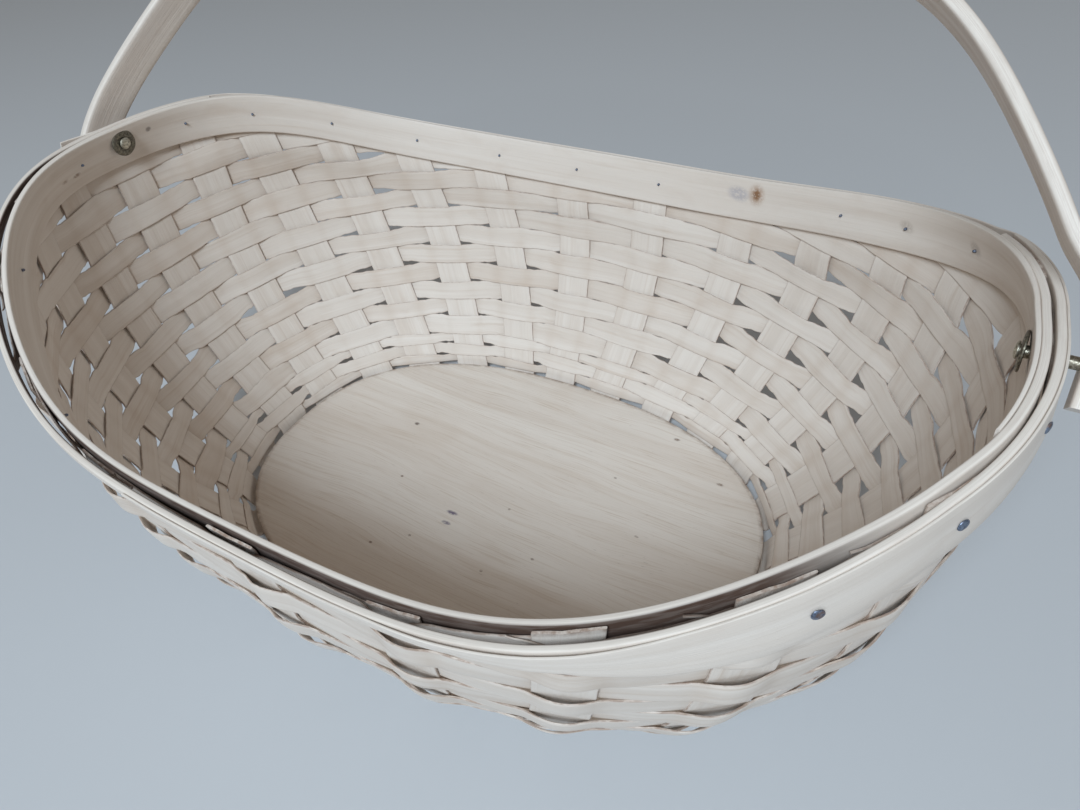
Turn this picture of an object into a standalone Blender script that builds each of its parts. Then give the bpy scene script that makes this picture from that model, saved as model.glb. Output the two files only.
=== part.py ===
"""Woven wood-splint basket with a swing handle.

Lengths below are in millimetres unless a name says otherwise. X runs along the
long axis of the oval, Y across it, Z up. Z = 0 is the underside of the lowest
splints, which is the plane the basket stands on.
"""

import math

import bpy
import numpy as np

MM = 0.001

# ---------------------------------------------------------------- dimensions
SHIFT_X, SHIFT_Y = 5.3, 3.36  # moves the middle of the overall box onto the origin
FLOOR_TOP = 8.0  # height of the floor panel's top face
PANEL_THICK = 5.0
SPLINT_W, SPLINT_T = 24.7, 1.2  # upright splints
WEAVER_T = 1.0
GAP = 0.3  # between touching strips
WEAVE_OFF = SPLINT_T / 2 + GAP + WEAVER_T / 2
HOOP_H, HOOP_T = 26.0, 3.2
BAND_T = 1.0
HOOP_IN_OFF = -2.6 - HOOP_T / 2  # middle of the inner hoop, from the middle of the wall
HOOP_OUT_OFF = 3.6 + HOOP_T / 2
BAND_OFF = 3.6 + HOOP_T + GAP + BAND_T / 2
BAND_OFF_BARE = 4.3  # where there is no outer hoop behind the band
HANDLE_W, HANDLE_T = 23.0, 5.6
HANDLE_LEAN = 39.6  # degrees from upright towards +Y, at rest
HANDLE_RISE = 162.2
HANDLE_TAIL = 16.0  # leg below the rivet
HANDLE_X = 5.3
HANDLE_HALF = 280.9
HANDLE_BEND = (-16.6, -82.2, 195.2)  # how its legs lean in, and its shoulders swell
HANDLE_SKEW = -0.05
PIVOT_Y, PIVOT_Z = -6.5, 205.8  # above the floor panel's top
SHAFT_R = 2.5
SHAFT_PLAY = 0.06  # between the shaft and the handle's hole
RIVET_HEAD_R, RIVET_HEAD_H = 6.5, 2.4
BURR_R, BURR_T = 8.0, 1.6
NAIL_R, NAIL_HEAD_R, NAIL_HEAD_H = 0.8, 2.8, 0.7

# the wall: two ovals, at the floor and 200 mm above it, and how fast the
# wall swells from the first to the second
A0, B0, N0 = 175.0, 120.6, 2.387
A1, B1, N1 = 259.2, 188.8, 2.318
GA, GB, GS = 3.433, 3.735, -0.495
DX, DY, TWIST = 5.65, 1.66, 0.007
H2C, H2S, H3C, H3S, H4C, H4S = 1.54, -3.15, -0.49, -5.04, 0.08, -0.10
# the rim: its height above the floor panel round the oval
RIM_MID, RIM_END, RIM_POWER = 154.75, 220.2, 2.747
R1S, R1C, R2S, R3C, R3S, R4C = -2.03, 1.43, -1.29, -1.31, -0.76, -1.67
# small waves round the rim: the top edge's height and distance out, and how
# much further out the hoops' lower edge is (a constant, then pairs of cosine
# and sine of 1, 2, 3 ... times the angle)
RIM_UP = [1.68, -1.05, 1.03, -0.15, 0.83, 0.95, -1.38, -1.05, -0.11, 0.97,
          -0.65, -0.12, -0.09, 1.26, -0.03, -0.31, 0.17]
RIM_OUT = [-1.61, 2.16, -1.94, -2.12, -0.24, 0.72, -0.67, -0.89, -0.85, -0.32,
           -0.08, 0.85, -0.49, -0.52, -0.89, -0.13, -1.33]
RIM_TILT = [0.91, -0.11, -1.58, 3.63, 0.78, -1.06, 0.32, 2.56, 1.30, -0.82,
            0.62, 0.64, 1.37, -0.27, 0.22, -0.30, 0.74]
WALL_IN = 0.8  # the wall lies this much further in between the hoops
RIM_FADE = 45.0  # the waves die out over this height below the hoops

# heights of the lines between the rows of weaving, above the panel's top
FOOT = -1.5
NARROW = [FOOT, 4.4, 11.3, 17.1]
FULL = [17.1, 28.5, 39.4, 51.3, 64.1, 77.7, 90.8, 105.3, 119.3, 134.2, 148.9]
END = [148.9, 164.5, 180.7, 197.0, 213.0]
LEVELS = NARROW + FULL[1:] + END[1:]
ROW_GAP = 0.3  # each row stops this far short of the line

# angle, round the oval at the floor, of each end of the splints; even and odd
# ends take turns in front of the weavers
SPLINT_ENDS = {
    -7: 211.8, -6: 195.7, -5: 182.3, -4: 169.8, -3: 151,
    -2: 134.4, -1: 118.7, 0: 105.2, 1: 95.1, 2: 86.5, 3: 74.1, 4: 60.3,
    5: 45.2, 6: 27.6, 7: 12.2, 8: -10, 9: -27,
    10: -44, 11: -60, 12: -75, 13: -89, 14: -103, 15: -118, 16: -134,
}
# how far each leans along the wall, in degrees over 200 mm of height
SPLINT_LEAN = {
    -7: -9.6, -6: -4.7, -5: -1.5, -4: -0.8, -3: 7.1,
    -2: 9.0, -1: 10.1, 0: 9.3, 1: 3.0, 2: 0.8, 3: -1.7, 4: -2.6,
    5: -2.9, 6: 1.7, 7: -2.5, 8: 1.5, 9: 3.6,
    10: 4.5, 11: 3.9, 12: 3.0, 13: 0.0, 14: -3.5, 15: -6.6, 16: -8.0,
}
LEAN_AT = {base: SPLINT_LEAN[end] for end, base in SPLINT_ENDS.items()}
CROSSWISE = [(-2, 16), (-1, 15), (0, 14), (1, 13), (2, 12), (3, 11), (4, 10)]
LENGTHWISE = [(-3, 5), (-4, 6), (-5, 7), (-6, 8), (-7, 9)]

OUTER_HOOP = (165.0, 381.0)  # from its left end, round the near side, to its right end
BAND = (261.0, 548.0)
RIM_STEP = 5.0

WOOD = (0.72, 0.62, 0.50)
WOOD_PALE = (0.78, 0.70, 0.59)
WOOD_HOOP = (0.76, 0.68, 0.56)
WOOD_PANEL = (0.75, 0.68, 0.59)
STEEL = (0.18, 0.20, 0.24)
BRONZE = (0.30, 0.22, 0.14)


# ------------------------------------------------------------------ the wall
def waves(terms, t):
    total = terms[0]
    for k in range(1, len(terms) // 2 + 1):
        total += terms[2 * k - 1] * math.cos(k * t) + terms[2 * k] * math.sin(k * t)
    return total


def rim_z(t):
    return (
        RIM_MID
        + waves(RIM_UP, t)
        + (RIM_END - RIM_MID) * abs(math.cos(t)) ** RIM_POWER
        + R1S * math.sin(t)
        + R1C * math.cos(t)
        + R2S * math.sin(2 * t)
        + R3C * math.cos(3 * t)
        + R3S * math.sin(3 * t)
        + R4C * math.cos(4 * t)
    )


def swell(s, g):
    q = max(1 - s / 1.25, 0.0)
    q1 = 1 - 1 / 1.25
    return (1 - q**g) / (1 - q1**g)


def oval(z, t):
    """Point of the wall's inside at height z and its outward direction, seen from above."""
    s = min(max(z / 200, -0.3), 1.3)
    c, w = math.cos(t), math.sin(t)
    g = swell(s, GA * c * c + GB * w * w + GS * w * abs(w))
    a, b = A0 + (A1 - A0) * g, B0 + (B1 - B0) * g
    n = N0 + (N1 - N0) * min(max(s, 0.0), 1.0)
    x = a * math.copysign(abs(c) ** (2 / n), c)
    y = b * math.copysign(abs(w) ** (2 / n), w)
    out = np.array([x / a**2, y / b**2])
    out /= np.linalg.norm(out)
    h = g * (
        H2C * math.cos(2 * t) + H2S * math.sin(2 * t)
        + H3C * math.cos(3 * t) + H3S * math.sin(3 * t)
        + H4C * math.cos(4 * t) + H4S * math.sin(4 * t)
    )
    p = np.array([x, y]) + h * out + np.array([DX, DY]) * g
    r = TWIST * s
    turn = np.array([[math.cos(r), -math.sin(r)], [math.sin(r), math.cos(r)]])
    return turn @ p, turn @ out


def smooth_step(x):
    x = min(max(x, 0.0), 1.0)
    return x * x * (3 - 2 * x)


def rim_push(z, t):
    """How far the waves of the rim push the wall out at height z."""
    below = rim_z(t) - z
    top = waves(RIM_OUT, t)
    tilt = waves(RIM_TILT, t)
    if below < HOOP_H:
        return top + tilt * below / HOOP_H
    return (top + tilt) * (1 - smooth_step((below - HOOP_H) / RIM_FADE))


def hoop_room(t):
    """The inner hoop stands this much clear of the wall where the rim is steep."""
    return 0.15 * max(waves(RIM_TILT, t), 0.0)


def wall(z, t, off=0.0):
    """Middle of the wall: z above the floor panel, t round the oval, off further out."""
    if z <= 4.4:
        f = (z - FOOT) / (4.4 - FOOT)
        low, n_low = oval(0.0, t)
        high, n_high = oval(4.4, t)
        p = (1 - f) * (low + 4.6 * n_low) + f * (high + 3.1 * n_high)
        out = n_high
    else:
        p, out = oval(z, t)
        ease = 2.3 + 0.8 * (1 - smooth_step((z - 4.4) / 100))
        ease += 3.0 * smooth_step((z - rim_z(t) + 45) / 25)
        ease += rim_push(z, t) - WALL_IN * smooth_step((z - rim_z(t) + 62) / 34)
        p = p + ease * out
    p = p + off * out
    return np.array([p[0] - SHIFT_X, p[1] - SHIFT_Y, z + FLOOR_TOP])


def rise_angle(base_deg, z):
    """Where a splint that starts at this angle has got to at height z."""
    lean = LEAN_AT[base_deg]
    return math.radians(base_deg + lean * min(max(z / 200, 0.0), 1.1))


def unit(v):
    return v / np.linalg.norm(v)


def splint_line(base_deg, z):
    """Centre of a splint at height z, its direction along the wall and its outward normal."""
    t = rise_angle(base_deg, z)
    centre = wall(z, t)
    along = unit(wall(z, t + 0.01) - wall(z, t - 0.01))
    step = 2.0
    z0, z1 = max(z - step, FOOT), z + step
    up = unit(wall(z1, rise_angle(base_deg, z1)) - wall(z0, rise_angle(base_deg, z0)))
    out = unit(np.cross(along, up))
    along[2] = 0
    return centre, unit(along), out


def splint_top(base_deg):
    t = rise_angle(base_deg, 180)
    return rim_z(t) - 2.0


# ------------------------------------------------------------- making meshes
for old in list(bpy.data.objects):
    bpy.data.objects.remove(old, do_unlink=True)

basket = bpy.data.collections.new("woven_basket")
helpers = bpy.data.collections.new("cutters")
bpy.context.scene.collection.children.link(basket)
bpy.context.scene.collection.children.link(helpers)


def material(name, colour, rough, metal=0.0):
    made = bpy.data.materials.new(name)
    made.use_nodes = True
    shader = made.node_tree.nodes["Principled BSDF"]
    shader.inputs["Base Color"].default_value = (*colour, 1)
    shader.inputs["Roughness"].default_value = rough
    shader.inputs["Metallic"].default_value = metal
    return made


def mesh_object(name, points, faces, colour, rough=0.6, metal=0.0, origin=(0, 0, 0)):
    mesh = bpy.data.meshes.new(name)
    at = np.array(origin, float)
    mesh.from_pydata([tuple((np.array(p) - at) * MM) for p in points], [], faces)
    mesh.materials.append(material(name, colour, rough, metal))
    made = bpy.data.objects.new(name, mesh)
    made.location = tuple(at * MM)
    basket.objects.link(made)
    return made


def thicken(obj, thick):
    made = obj.modifiers.new("thickness", "SOLIDIFY")
    made.thickness = thick * MM
    made.offset = 0
    made.use_even_offset = True
    return obj


def strip_faces(count, closed=False, other=False):
    """Triangles of a strip whose points come in pairs, split along one diagonal or the other."""
    faces = []
    for i in range(count if closed else count - 1):
        a, b = 2 * i, 2 * ((i + 1) % count)
        if other:
            faces += [(a, b, a + 1), (b, b + 1, a + 1)]
        else:
            faces += [(a, b, b + 1), (a, b + 1, a + 1)]
    return faces


# --------------------------------------------------------------- the splints
def splint_side(end):
    """Edge points of one upright, from its top down to the fold under the panel."""
    base = SPLINT_ENDS[end]
    top = splint_top(base)
    levels = [z for z in LEVELS if z < top - 0.4] + [top]
    rows = []
    for z in reversed(levels):
        centre, along, _ = splint_line(base, z)
        rows.append((centre - along * SPLINT_W / 2, centre + along * SPLINT_W / 2))
    return rows


def fold(end, height, out_by):
    base = SPLINT_ENDS[end]
    t = math.radians(base)
    p, out = oval(0.0, t)
    along = np.array([-out[1], out[0], 0.0])
    centre = np.array(
        [p[0] + out_by * out[0] - SHIFT_X, p[1] + out_by * out[1] - SHIFT_Y, height]
    )
    return centre, along


def splint(name, far, near, height):
    rows = splint_side(far)
    ends = []
    for end in (far, near):
        centre, along = fold(end, height, 2.2)
        ends.append((centre, along))
    (c0, a0), (c1, a1) = ends
    run = unit(c1 - c0)
    square = np.array([-run[1], run[0], 0.0])
    if np.dot(square, a0) < 0:
        square = -square
    lift = np.array([0.0, 0.0, FOLD_LIFT])
    rows.append((c0 - a0 * SPLINT_W / 2 + lift, c0 + a0 * SPLINT_W / 2 + lift))
    length = np.linalg.norm(c1 - c0)
    for d in (5.0, 30.0, 60.0, length - 60.0, length - 30.0, length - 5.0):
        mix = {5.0: 0.15, 30.0: 0.6, 60.0: 1.0}[round(min(d, length - d), 3)]
        toward = a0 if d < length / 2 else -a1
        side = unit((1 - mix) * toward + mix * square)
        c = c0 + run * d
        rows.append((c - side * SPLINT_W / 2, c + side * SPLINT_W / 2))
    rows.append((c1 + a1 * SPLINT_W / 2 + lift, c1 - a1 * SPLINT_W / 2 + lift))
    for lo, hi in reversed(splint_side(near)):
        rows.append((hi, lo))
    points = [p for pair in rows for p in pair]
    return thicken(mesh_object(name, points, strip_faces(len(rows)), WOOD), SPLINT_T)


FOLD_LIFT = 0.35  # the splints start to rise just before the fold
LOW = SPLINT_T / 2
HIGH = SPLINT_T + GAP + SPLINT_T / 2
pieces = []
for i, (far, near) in enumerate(CROSSWISE, 1):
    pieces.append(splint(f"crosswise_splint_{i}", far, near, HIGH))
for i, (left, right) in enumerate(LENGTHWISE, 1):
    pieces.append(splint(f"lengthwise_splint_{i}", left, right, LOW))


# --------------------------------------------------------------- the weavers
ORDER = sorted(SPLINT_ENDS, key=lambda k: SPLINT_ENDS[k] % 360)


def weaver_pair(end, edge, low, high, side):
    """Lower and upper point of a weaver where it passes one edge of a splint."""
    base = SPLINT_ENDS[end]
    pair = []
    high = min(high, splint_top(base) - 0.6)  # the rim cuts the end rows off obliquely
    span = high - low
    for level, part in ((low, ROW_GAP / span), (high, 1 - ROW_GAP / span)):
        pair.append(part)
    rows = []
    for level in (low, high):
        centre, along, out = splint_line(base, level)
        rows.append((centre + along * edge * SPLINT_W / 2, out))
    made = []
    for part in pair:
        p = (1 - part) * rows[0][0] + part * rows[1][0]
        out = unit((1 - part) * rows[0][1] + part * rows[1][1])
        made.append(p + out * side * WEAVE_OFF)
    return made


def weaver(name, row, low, high, ends=None):
    points = []
    used = ends or ORDER
    for end in used:
        side = 1 if (end + row) % 2 == 0 else -1
        for edge in (-1, 1):
            points += weaver_pair(end, edge, low, high, side)
    made = mesh_object(
        name, points, strip_faces(len(points) // 2, ends is None, True), WOOD_PALE
    )
    return thicken(made, WEAVER_T)


# rows count down from the rim's low line, as the splints' turns do
for i in range(3):
    pieces.append(weaver(f"base_weaver_{i + 1}", 11 - i, NARROW[i], NARROW[i + 1]))
for i in range(len(FULL) - 1):
    pieces.append(weaver(f"wall_weaver_{i + 1}", 8 - i, FULL[i], FULL[i + 1]))


def end_run(middle, low):
    """The splints near one end of the oval that reach above this height."""
    i = ORDER.index(middle)
    run = [middle]
    for step in (1, -1):
        j = i + step
        while splint_top(SPLINT_ENDS[ORDER[j % len(ORDER)]]) > low + 4.0:
            if step > 0:
                run.append(ORDER[j % len(ORDER)])
            else:
                run.insert(0, ORDER[j % len(ORDER)])
            j += step
    return run


for i in range(len(END) - 1):
    for side, middle in (("left", -5), ("right", 7)):
        pieces.append(
            weaver(
                f"end_weaver_{side}_{i + 1}",
                -2 - i,
                END[i],
                END[i + 1],
                end_run(middle, END[i]),
            )
        )


# ------------------------------------------------------------------ the rims
def ring_angles(start=0.0, stop=360.0):
    """Whole steps round the oval, shared by every hoop, and the two ends of an open one."""
    first = int(start // RIM_STEP) + 1
    inner = [RIM_STEP * i for i in range(first, int(math.ceil(stop / RIM_STEP)))]
    if stop - start >= 360:
        return [RIM_STEP * i for i in range(round(360 / RIM_STEP))]
    return [start] + [a for a in inner if a - start > 1 and stop - a > 1] + [stop]


def inner_off(deg):
    return HOOP_IN_OFF - hoop_room(math.radians(deg))


def ring_points(off, tall, angles, drop=0.0):
    """Pairs of points, lower then upper, of a band that follows the rim."""
    pairs = []
    for deg in angles:
        t = math.radians(deg)
        z = rim_z(t) - drop
        push = off(deg) if callable(off) else off
        pairs += [wall(z - tall, t, push), wall(z, t, push)]
    return pairs


def band_off(deg):
    """The band steps in where the outer hoop behind it ends."""
    d = deg % 360
    right_end, left_end = OUTER_HOOP[1] - 360, OUTER_HOOP[0]
    if right_end < d < left_end:
        inside = min(d - right_end, left_end - d) - 6
        return BAND_OFF + (BAND_OFF_BARE - BAND_OFF) * smooth_step(inside / 16)
    return BAND_OFF


inner_hoop = thicken(
    mesh_object(
        "inner_rim_hoop",
        ring_points(inner_off, HOOP_H, ring_angles()),
        strip_faces(len(ring_angles()), True),
        WOOD_HOOP,
    ),
    HOOP_T,
)
outer_hoop = thicken(
    mesh_object(
        "outer_rim_hoop",
        ring_points(HOOP_OUT_OFF, HOOP_H, ring_angles(*OUTER_HOOP)),
        strip_faces(len(ring_angles(*OUTER_HOOP))),
        WOOD_HOOP,
    ),
    HOOP_T,
)
outer_band = thicken(
    mesh_object(
        "outer_binding_band",
        ring_points(band_off, HOOP_H, ring_angles(*BAND)),
        strip_faces(len(ring_angles(*BAND))),
        WOOD_PALE,
    ),
    BAND_T,
)

# ------------------------------------------------------------ the floor panel
outline = []
for i in range(72):
    t = 2 * math.pi * i / 72
    c, w = math.cos(t), math.sin(t)
    outline.append(
        (
            A0 * math.copysign(abs(c) ** (2 / N0), c) - SHIFT_X,
            B0 * math.copysign(abs(w) ** (2 / N0), w) - SHIFT_Y,
            FLOOR_TOP - PANEL_THICK / 2,
        )
    )
thicken(
    mesh_object("floor_panel", outline, [tuple(range(72))], WOOD_PANEL), PANEL_THICK
)

# ---------------------------------------------------------------- the handle
pivot = (HANDLE_X - SHIFT_X, PIVOT_Y - SHIFT_Y, PIVOT_Z + FLOOR_TOP)


def bow():
    """Middle line of the handle in its own plane: across, and up from the rivets."""
    line = [(HANDLE_HALF, -HANDLE_TAIL), (HANDLE_HALF, -HANDLE_TAIL / 2)]
    steps = 40
    for i in range(steps + 1):
        f = math.pi * i / steps
        c, w = math.cos(f), math.sin(f)
        swell = sum(b * w ** (k + 1) for k, b in enumerate(HANDLE_BEND))
        height = HANDLE_RISE * w
        across = c * (HANDLE_HALF + swell) + HANDLE_SKEW * height
        if c > 0:  # the right leg starts straight, clear of the rim
            across += (HANDLE_HALF - across) * (1 - smooth_step((height - 8) / 36))
        line.append((across, height))
    line += [(-HANDLE_HALF, -HANDLE_TAIL / 2), (-HANDLE_HALF, -HANDLE_TAIL)]
    return [np.array(p) for p in line]


line = bow()
points = []
for i, p in enumerate(line):
    before, after = line[max(i - 1, 0)], line[min(i + 1, len(line) - 1)]
    way = unit(after - before)
    side = np.array([way[1], -way[0]])
    for d in (-HANDLE_T / 2, HANDLE_T / 2):
        q = p + side * d
        points.append((q[0], q[1], 0.0))
handle = mesh_object(
    "handle", points, strip_faces(len(line)), WOOD_HOOP, 0.45
)
thicken(handle, HANDLE_W)
handle.location = tuple(c * MM for c in pivot)
handle.rotation_euler = (math.radians(90 - HANDLE_LEAN), 0, 0)


# ------------------------------------------------------- fastenings and holes
def turned(name, profile, at, way, colour, segments, metal=1.0, rough=0.45):
    """A round piece: profile of (radius, distance), turned about the direction `way` from `at`."""
    way = unit(np.array(way, float))
    other = unit(np.cross(way, (0, 0, 1)))
    third = np.cross(way, other)
    at = np.array(at, float)
    points, faces = [], []
    rings = []
    for radius, d in profile:
        if rings and radius and (radius, d) == profile[0]:
            rings.append(rings[0])
            continue
        if radius == 0:
            rings.append([len(points)])
            points.append(at + way * d)
            continue
        rings.append(list(range(len(points), len(points) + segments)))
        for i in range(segments):
            f = 2 * math.pi * i / segments
            points.append(
                at + way * d + radius * (math.cos(f) * other + math.sin(f) * third)
            )
    for first, second in zip(rings, rings[1:]):
        for i in range(segments):
            j = (i + 1) % segments
            if len(first) == 1:
                faces.append((first[0], second[j], second[i]))
            elif len(second) == 1:
                faces.append((first[i], first[j], second[0]))
            else:
                faces.append((first[i], first[j], second[j], second[i]))
    if name is None:
        mesh = bpy.data.meshes.new("cutter")
        mesh.from_pydata([tuple(p * MM) for p in points], [], faces)
        made = bpy.data.objects.new("cutter", mesh)
        helpers.objects.link(made)
        made.hide_render = True
        made.display_type = "WIRE"
    else:
        made = mesh_object(name, points, faces, colour, rough, metal)
    return made


def facing_out(obj):
    """Turns a closed mesh's faces outwards where they were listed the other way."""
    mesh = obj.data
    mesh.calc_loop_triangles()
    total = 0.0
    for tri in mesh.loop_triangles:
        a, b, c = (mesh.vertices[i].co for i in tri.vertices)
        total += a.dot(b.cross(c))
    if total < 0:
        mesh.flip_normals()
    return obj


def drill(obj, at, way, radius, reach, segments):
    cutter = facing_out(
        turned(
            None,
            [(0, -reach), (radius, -reach), (radius, reach), (0, reach)],
            at,
            way,
            None,
            segments,
        )
    )
    made = obj.modifiers.new("hole", "BOOLEAN")
    made.operation = "DIFFERENCE"
    made.solver = "EXACT"
    made.object = cutter


by_name = {o.name: o for o in basket.objects}
pivot_t = {"left": math.radians(180), "right": 0.0}
for side, sign in (("left", -1), ("right", 1)):
    t = pivot_t[side]
    stand = 3.4 if sign < 0 else 2.6  # the washer is flat and the hoop isn't
    inner = wall(PIVOT_Z, t, inner_off(math.degrees(t)) - HOOP_T / 2 - stand)[0]
    outer = pivot[0] + sign * (HANDLE_HALF + HANDLE_T / 2)
    at = (outer, pivot[1], pivot[2])
    length = abs(outer - inner) + BURR_T
    # the shaft runs inwards from the handle's outer face
    facing_out(
        turned(
            f"handle_rivet_{side}",
            [
                (0, -0.3 - RIVET_HEAD_H),
                (RIVET_HEAD_R * 0.55, -0.3 - RIVET_HEAD_H * 0.9),
                (RIVET_HEAD_R * 0.87, -0.3 - RIVET_HEAD_H * 0.55),
                (RIVET_HEAD_R, -0.3),
                (SHAFT_R, -0.3),
                (SHAFT_R, length + 0.4),
                (SHAFT_R * 0.7, length + 1.6),
                (0, length + 1.9),
            ],
            at,
            (-sign, 0, 0),
            BRONZE,
            32,
        )
    )
    # the washer is a flat ring on the inner hoop
    facing_out(
        turned(
            f"rivet_burr_{side}",
            [
                (SHAFT_R + 0.15, length - BURR_T),
                (BURR_R, length - BURR_T),
                (BURR_R, length - BURR_T * 0.5),
                (BURR_R * 0.85, length),
                (SHAFT_R + 0.15, length),
                (SHAFT_R + 0.15, length - BURR_T),
            ],
            at,
            (-sign, 0, 0),
            BRONZE,
            24,
        )
    )
    drill(handle, (outer, pivot[1], pivot[2]), (1, 0, 0), SHAFT_R + SHAFT_PLAY, 12, 48)
    near = (inner + outer) / 2
    through = [inner_hoop, outer_hoop, outer_band]
    through.append(by_name[f"end_weaver_{side}_4"])
    if side == "left":
        through.append(by_name["lengthwise_splint_3"])
    for obj in through:
        drill(obj, (near, pivot[1], pivot[2]), (1, 0, 0), SHAFT_R + 0.15, 24, 24)

NAIL_ANGLES = [
    25.5, 42, 55, 86, 96, 109, 124.5, 141, 157, 170.5,
    189, 216, 243, 270, 296, 322, 335, 347.5,
]
for i, deg in enumerate(NAIL_ANGLES, 1):
    t = math.radians(deg)
    z = rim_z(t) - HOOP_H / 2
    face = wall(z, t, band_off(deg) + BAND_T / 2)
    if not (BAND[0] <= deg or deg + 360 <= BAND[1]):
        face = wall(z, t, HOOP_OUT_OFF + HOOP_T / 2 + 0.35)
    way = oval(z, t)[1]
    inward = (-way[0], -way[1], 0.0)
    depth = band_off(deg) + BAND_T / 2 - HOOP_IN_OFF + HOOP_T / 2 + 1.0
    facing_out(
        turned(
            f"rim_nail_{i:02d}",
            [
                (0, -0.5 - NAIL_HEAD_H),
                (NAIL_HEAD_R, -0.5 - NAIL_HEAD_H * 0.6),
                (NAIL_HEAD_R, -0.5),
                (NAIL_R, -0.5),
                (NAIL_R, depth),
                (0, depth + 0.8),
            ],
            face,
            inward,
            STEEL,
            8,
        )
    )
    box_at = face + np.array(inward) * depth / 2
    for obj in basket.objects:
        if obj.name.startswith(("rim_nail", "handle", "rivet", "floor")):
            continue
        # only strips that reach this nail are drilled
        corners = np.array([v.co[:] for v in obj.data.vertices]) / MM
        if obj.name == "outer_rim_hoop" and not (
            OUTER_HOOP[0] < deg or deg + 360 < OUTER_HOOP[1]
        ):
            continue
        if obj.name == "outer_binding_band" and not (
            BAND[0] < deg or deg + 360 < BAND[1]
        ):
            continue
        gaps = np.linalg.norm(corners - box_at, axis=1)
        close = gaps.min() < 32
        if not close:
            continue
        line_far = np.abs((corners - box_at) @ np.array([inward[1], -inward[0], 0]))
        if obj.name.startswith(("crosswise", "lengthwise")):
            if line_far[gaps < 32].min() > SPLINT_W / 2 + NAIL_R + 0.4:
                continue
        low, high = corners[gaps < 40][:, 2].min(), corners[gaps < 40][:, 2].max()
        if not (low - 1.2 < box_at[2] < high + 1.2):
            continue
        drill(obj, box_at, inward, NAIL_R + 0.15, 18, 8)

# ------------------------------------------------------------------- shading
for obj in basket.objects:
    if obj.name.startswith(("handle_rivet", "rivet_burr", "rim_nail")):
        for face in obj.data.polygons:
            face.use_smooth = True
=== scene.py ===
import math

import bpy
import numpy as np
from mathutils import Matrix


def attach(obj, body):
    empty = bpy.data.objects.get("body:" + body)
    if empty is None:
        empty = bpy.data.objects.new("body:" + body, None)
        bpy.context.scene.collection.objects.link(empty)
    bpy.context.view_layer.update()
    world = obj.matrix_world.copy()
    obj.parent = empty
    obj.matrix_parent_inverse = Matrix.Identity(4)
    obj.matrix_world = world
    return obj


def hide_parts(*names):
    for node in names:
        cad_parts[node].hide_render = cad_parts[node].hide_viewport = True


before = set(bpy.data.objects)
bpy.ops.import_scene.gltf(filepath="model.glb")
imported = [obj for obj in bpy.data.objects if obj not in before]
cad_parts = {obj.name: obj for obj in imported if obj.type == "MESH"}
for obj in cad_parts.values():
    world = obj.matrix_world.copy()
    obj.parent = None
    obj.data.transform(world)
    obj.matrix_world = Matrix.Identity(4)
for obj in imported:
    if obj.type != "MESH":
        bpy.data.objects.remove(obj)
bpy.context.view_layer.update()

# Lengths are millimetres here, and turn into metres when a mesh is made.
# The wall of the basket is one surface, the same as in the CAD: z is the
# height above the floor panel's top and t the angle round the oval.
MM = 0.001
SHIFT = np.array([5.3, 3.36])
FLOOR_TOP = 8.0
HOOP_H = 26.0
HOOP_T = 3.2
SPLINT_W, SPLINT_T = 24.7, 1.2
WEAVER_T = 1.0
FOOT = -1.5
A0, B0, N0 = 175.0, 120.6, 2.387
A1, B1, N1 = 259.2, 188.8, 2.318
GA, GB, GS = 3.433, 3.735, -0.495
DX, DY, TWIST = 5.65, 1.66, 0.007
H2C, H2S, H3C, H3S, H4C, H4S = 1.54, -3.15, -0.49, -5.04, 0.08, -0.10
RIM_UP = [1.68, -1.05, 1.03, -0.15, 0.83, 0.95, -1.38, -1.05, -0.11, 0.97,
          -0.65, -0.12, -0.09, 1.26, -0.03, -0.31, 0.17]
RIM_OUT = [-1.61, 2.16, -1.94, -2.12, -0.24, 0.72, -0.67, -0.89, -0.85, -0.32,
           -0.08, 0.85, -0.49, -0.52, -0.89, -0.13, -1.33]
RIM_TILT = [0.91, -0.11, -1.58, 3.63, 0.78, -1.06, 0.32, 2.56, 1.30, -0.82,
            0.62, 0.64, 1.37, -0.27, 0.22, -0.30, 0.74]
RIM_FADE = 45.0
WALL_IN = 1.6  # the wall lies this much further in between the hoops

NARROW = [FOOT, 4.4, 11.3, 17.1]
FULL = [17.1, 28.5, 39.4, 51.3, 64.1, 77.7, 90.8, 105.3, 119.3, 134.2, 148.9]
END = [148.9, 164.5, 180.7, 197.0, 213.0]
LEVELS = NARROW + FULL[1:] + END[1:]
BAND_START = 261.0
SKY, KEY, FILL = 0.22, (16, 44, 1.2, 86), 4
NAIL_ANGLES = [
    25.5, 42, 55, 86, 96, 109, 124.5, 141, 157, 170.5,
    189, 216, 243, 270, 296, 322, 335, 347.5,
]
SPLINT_ENDS = {
    -7: 211.8, -6: 195.7, -5: 182.3, -4: 169.8, -3: 151,
    -2: 134.4, -1: 118.7, 0: 105.2, 1: 95.1, 2: 86.5, 3: 74.1, 4: 60.3,
    5: 45.2, 6: 27.6, 7: 12.2, 8: -10, 9: -27,
    10: -44, 11: -60, 12: -75, 13: -89, 14: -103, 15: -118, 16: -134,
}
SPLINT_LEAN = {
    -7: -9.6, -6: -4.7, -5: -1.5, -4: -0.8, -3: 7.1,
    -2: 9.0, -1: 10.1, 0: 9.3, 1: 3.0, 2: 0.8, 3: -1.7, 4: -2.6,
    5: -2.9, 6: 1.7, 7: -2.5, 8: 1.5, 9: 3.6,
    10: 4.5, 11: 3.9, 12: 3.0, 13: 0.0, 14: -3.5, 15: -6.6, 16: -8.0,
}
LEAN_AT = {base: SPLINT_LEAN[k] for k, base in SPLINT_ENDS.items()}
CROSSWISE = [(-2, 16), (-1, 15), (0, 14), (1, 13), (2, 12), (3, 11), (4, 10)]
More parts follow.
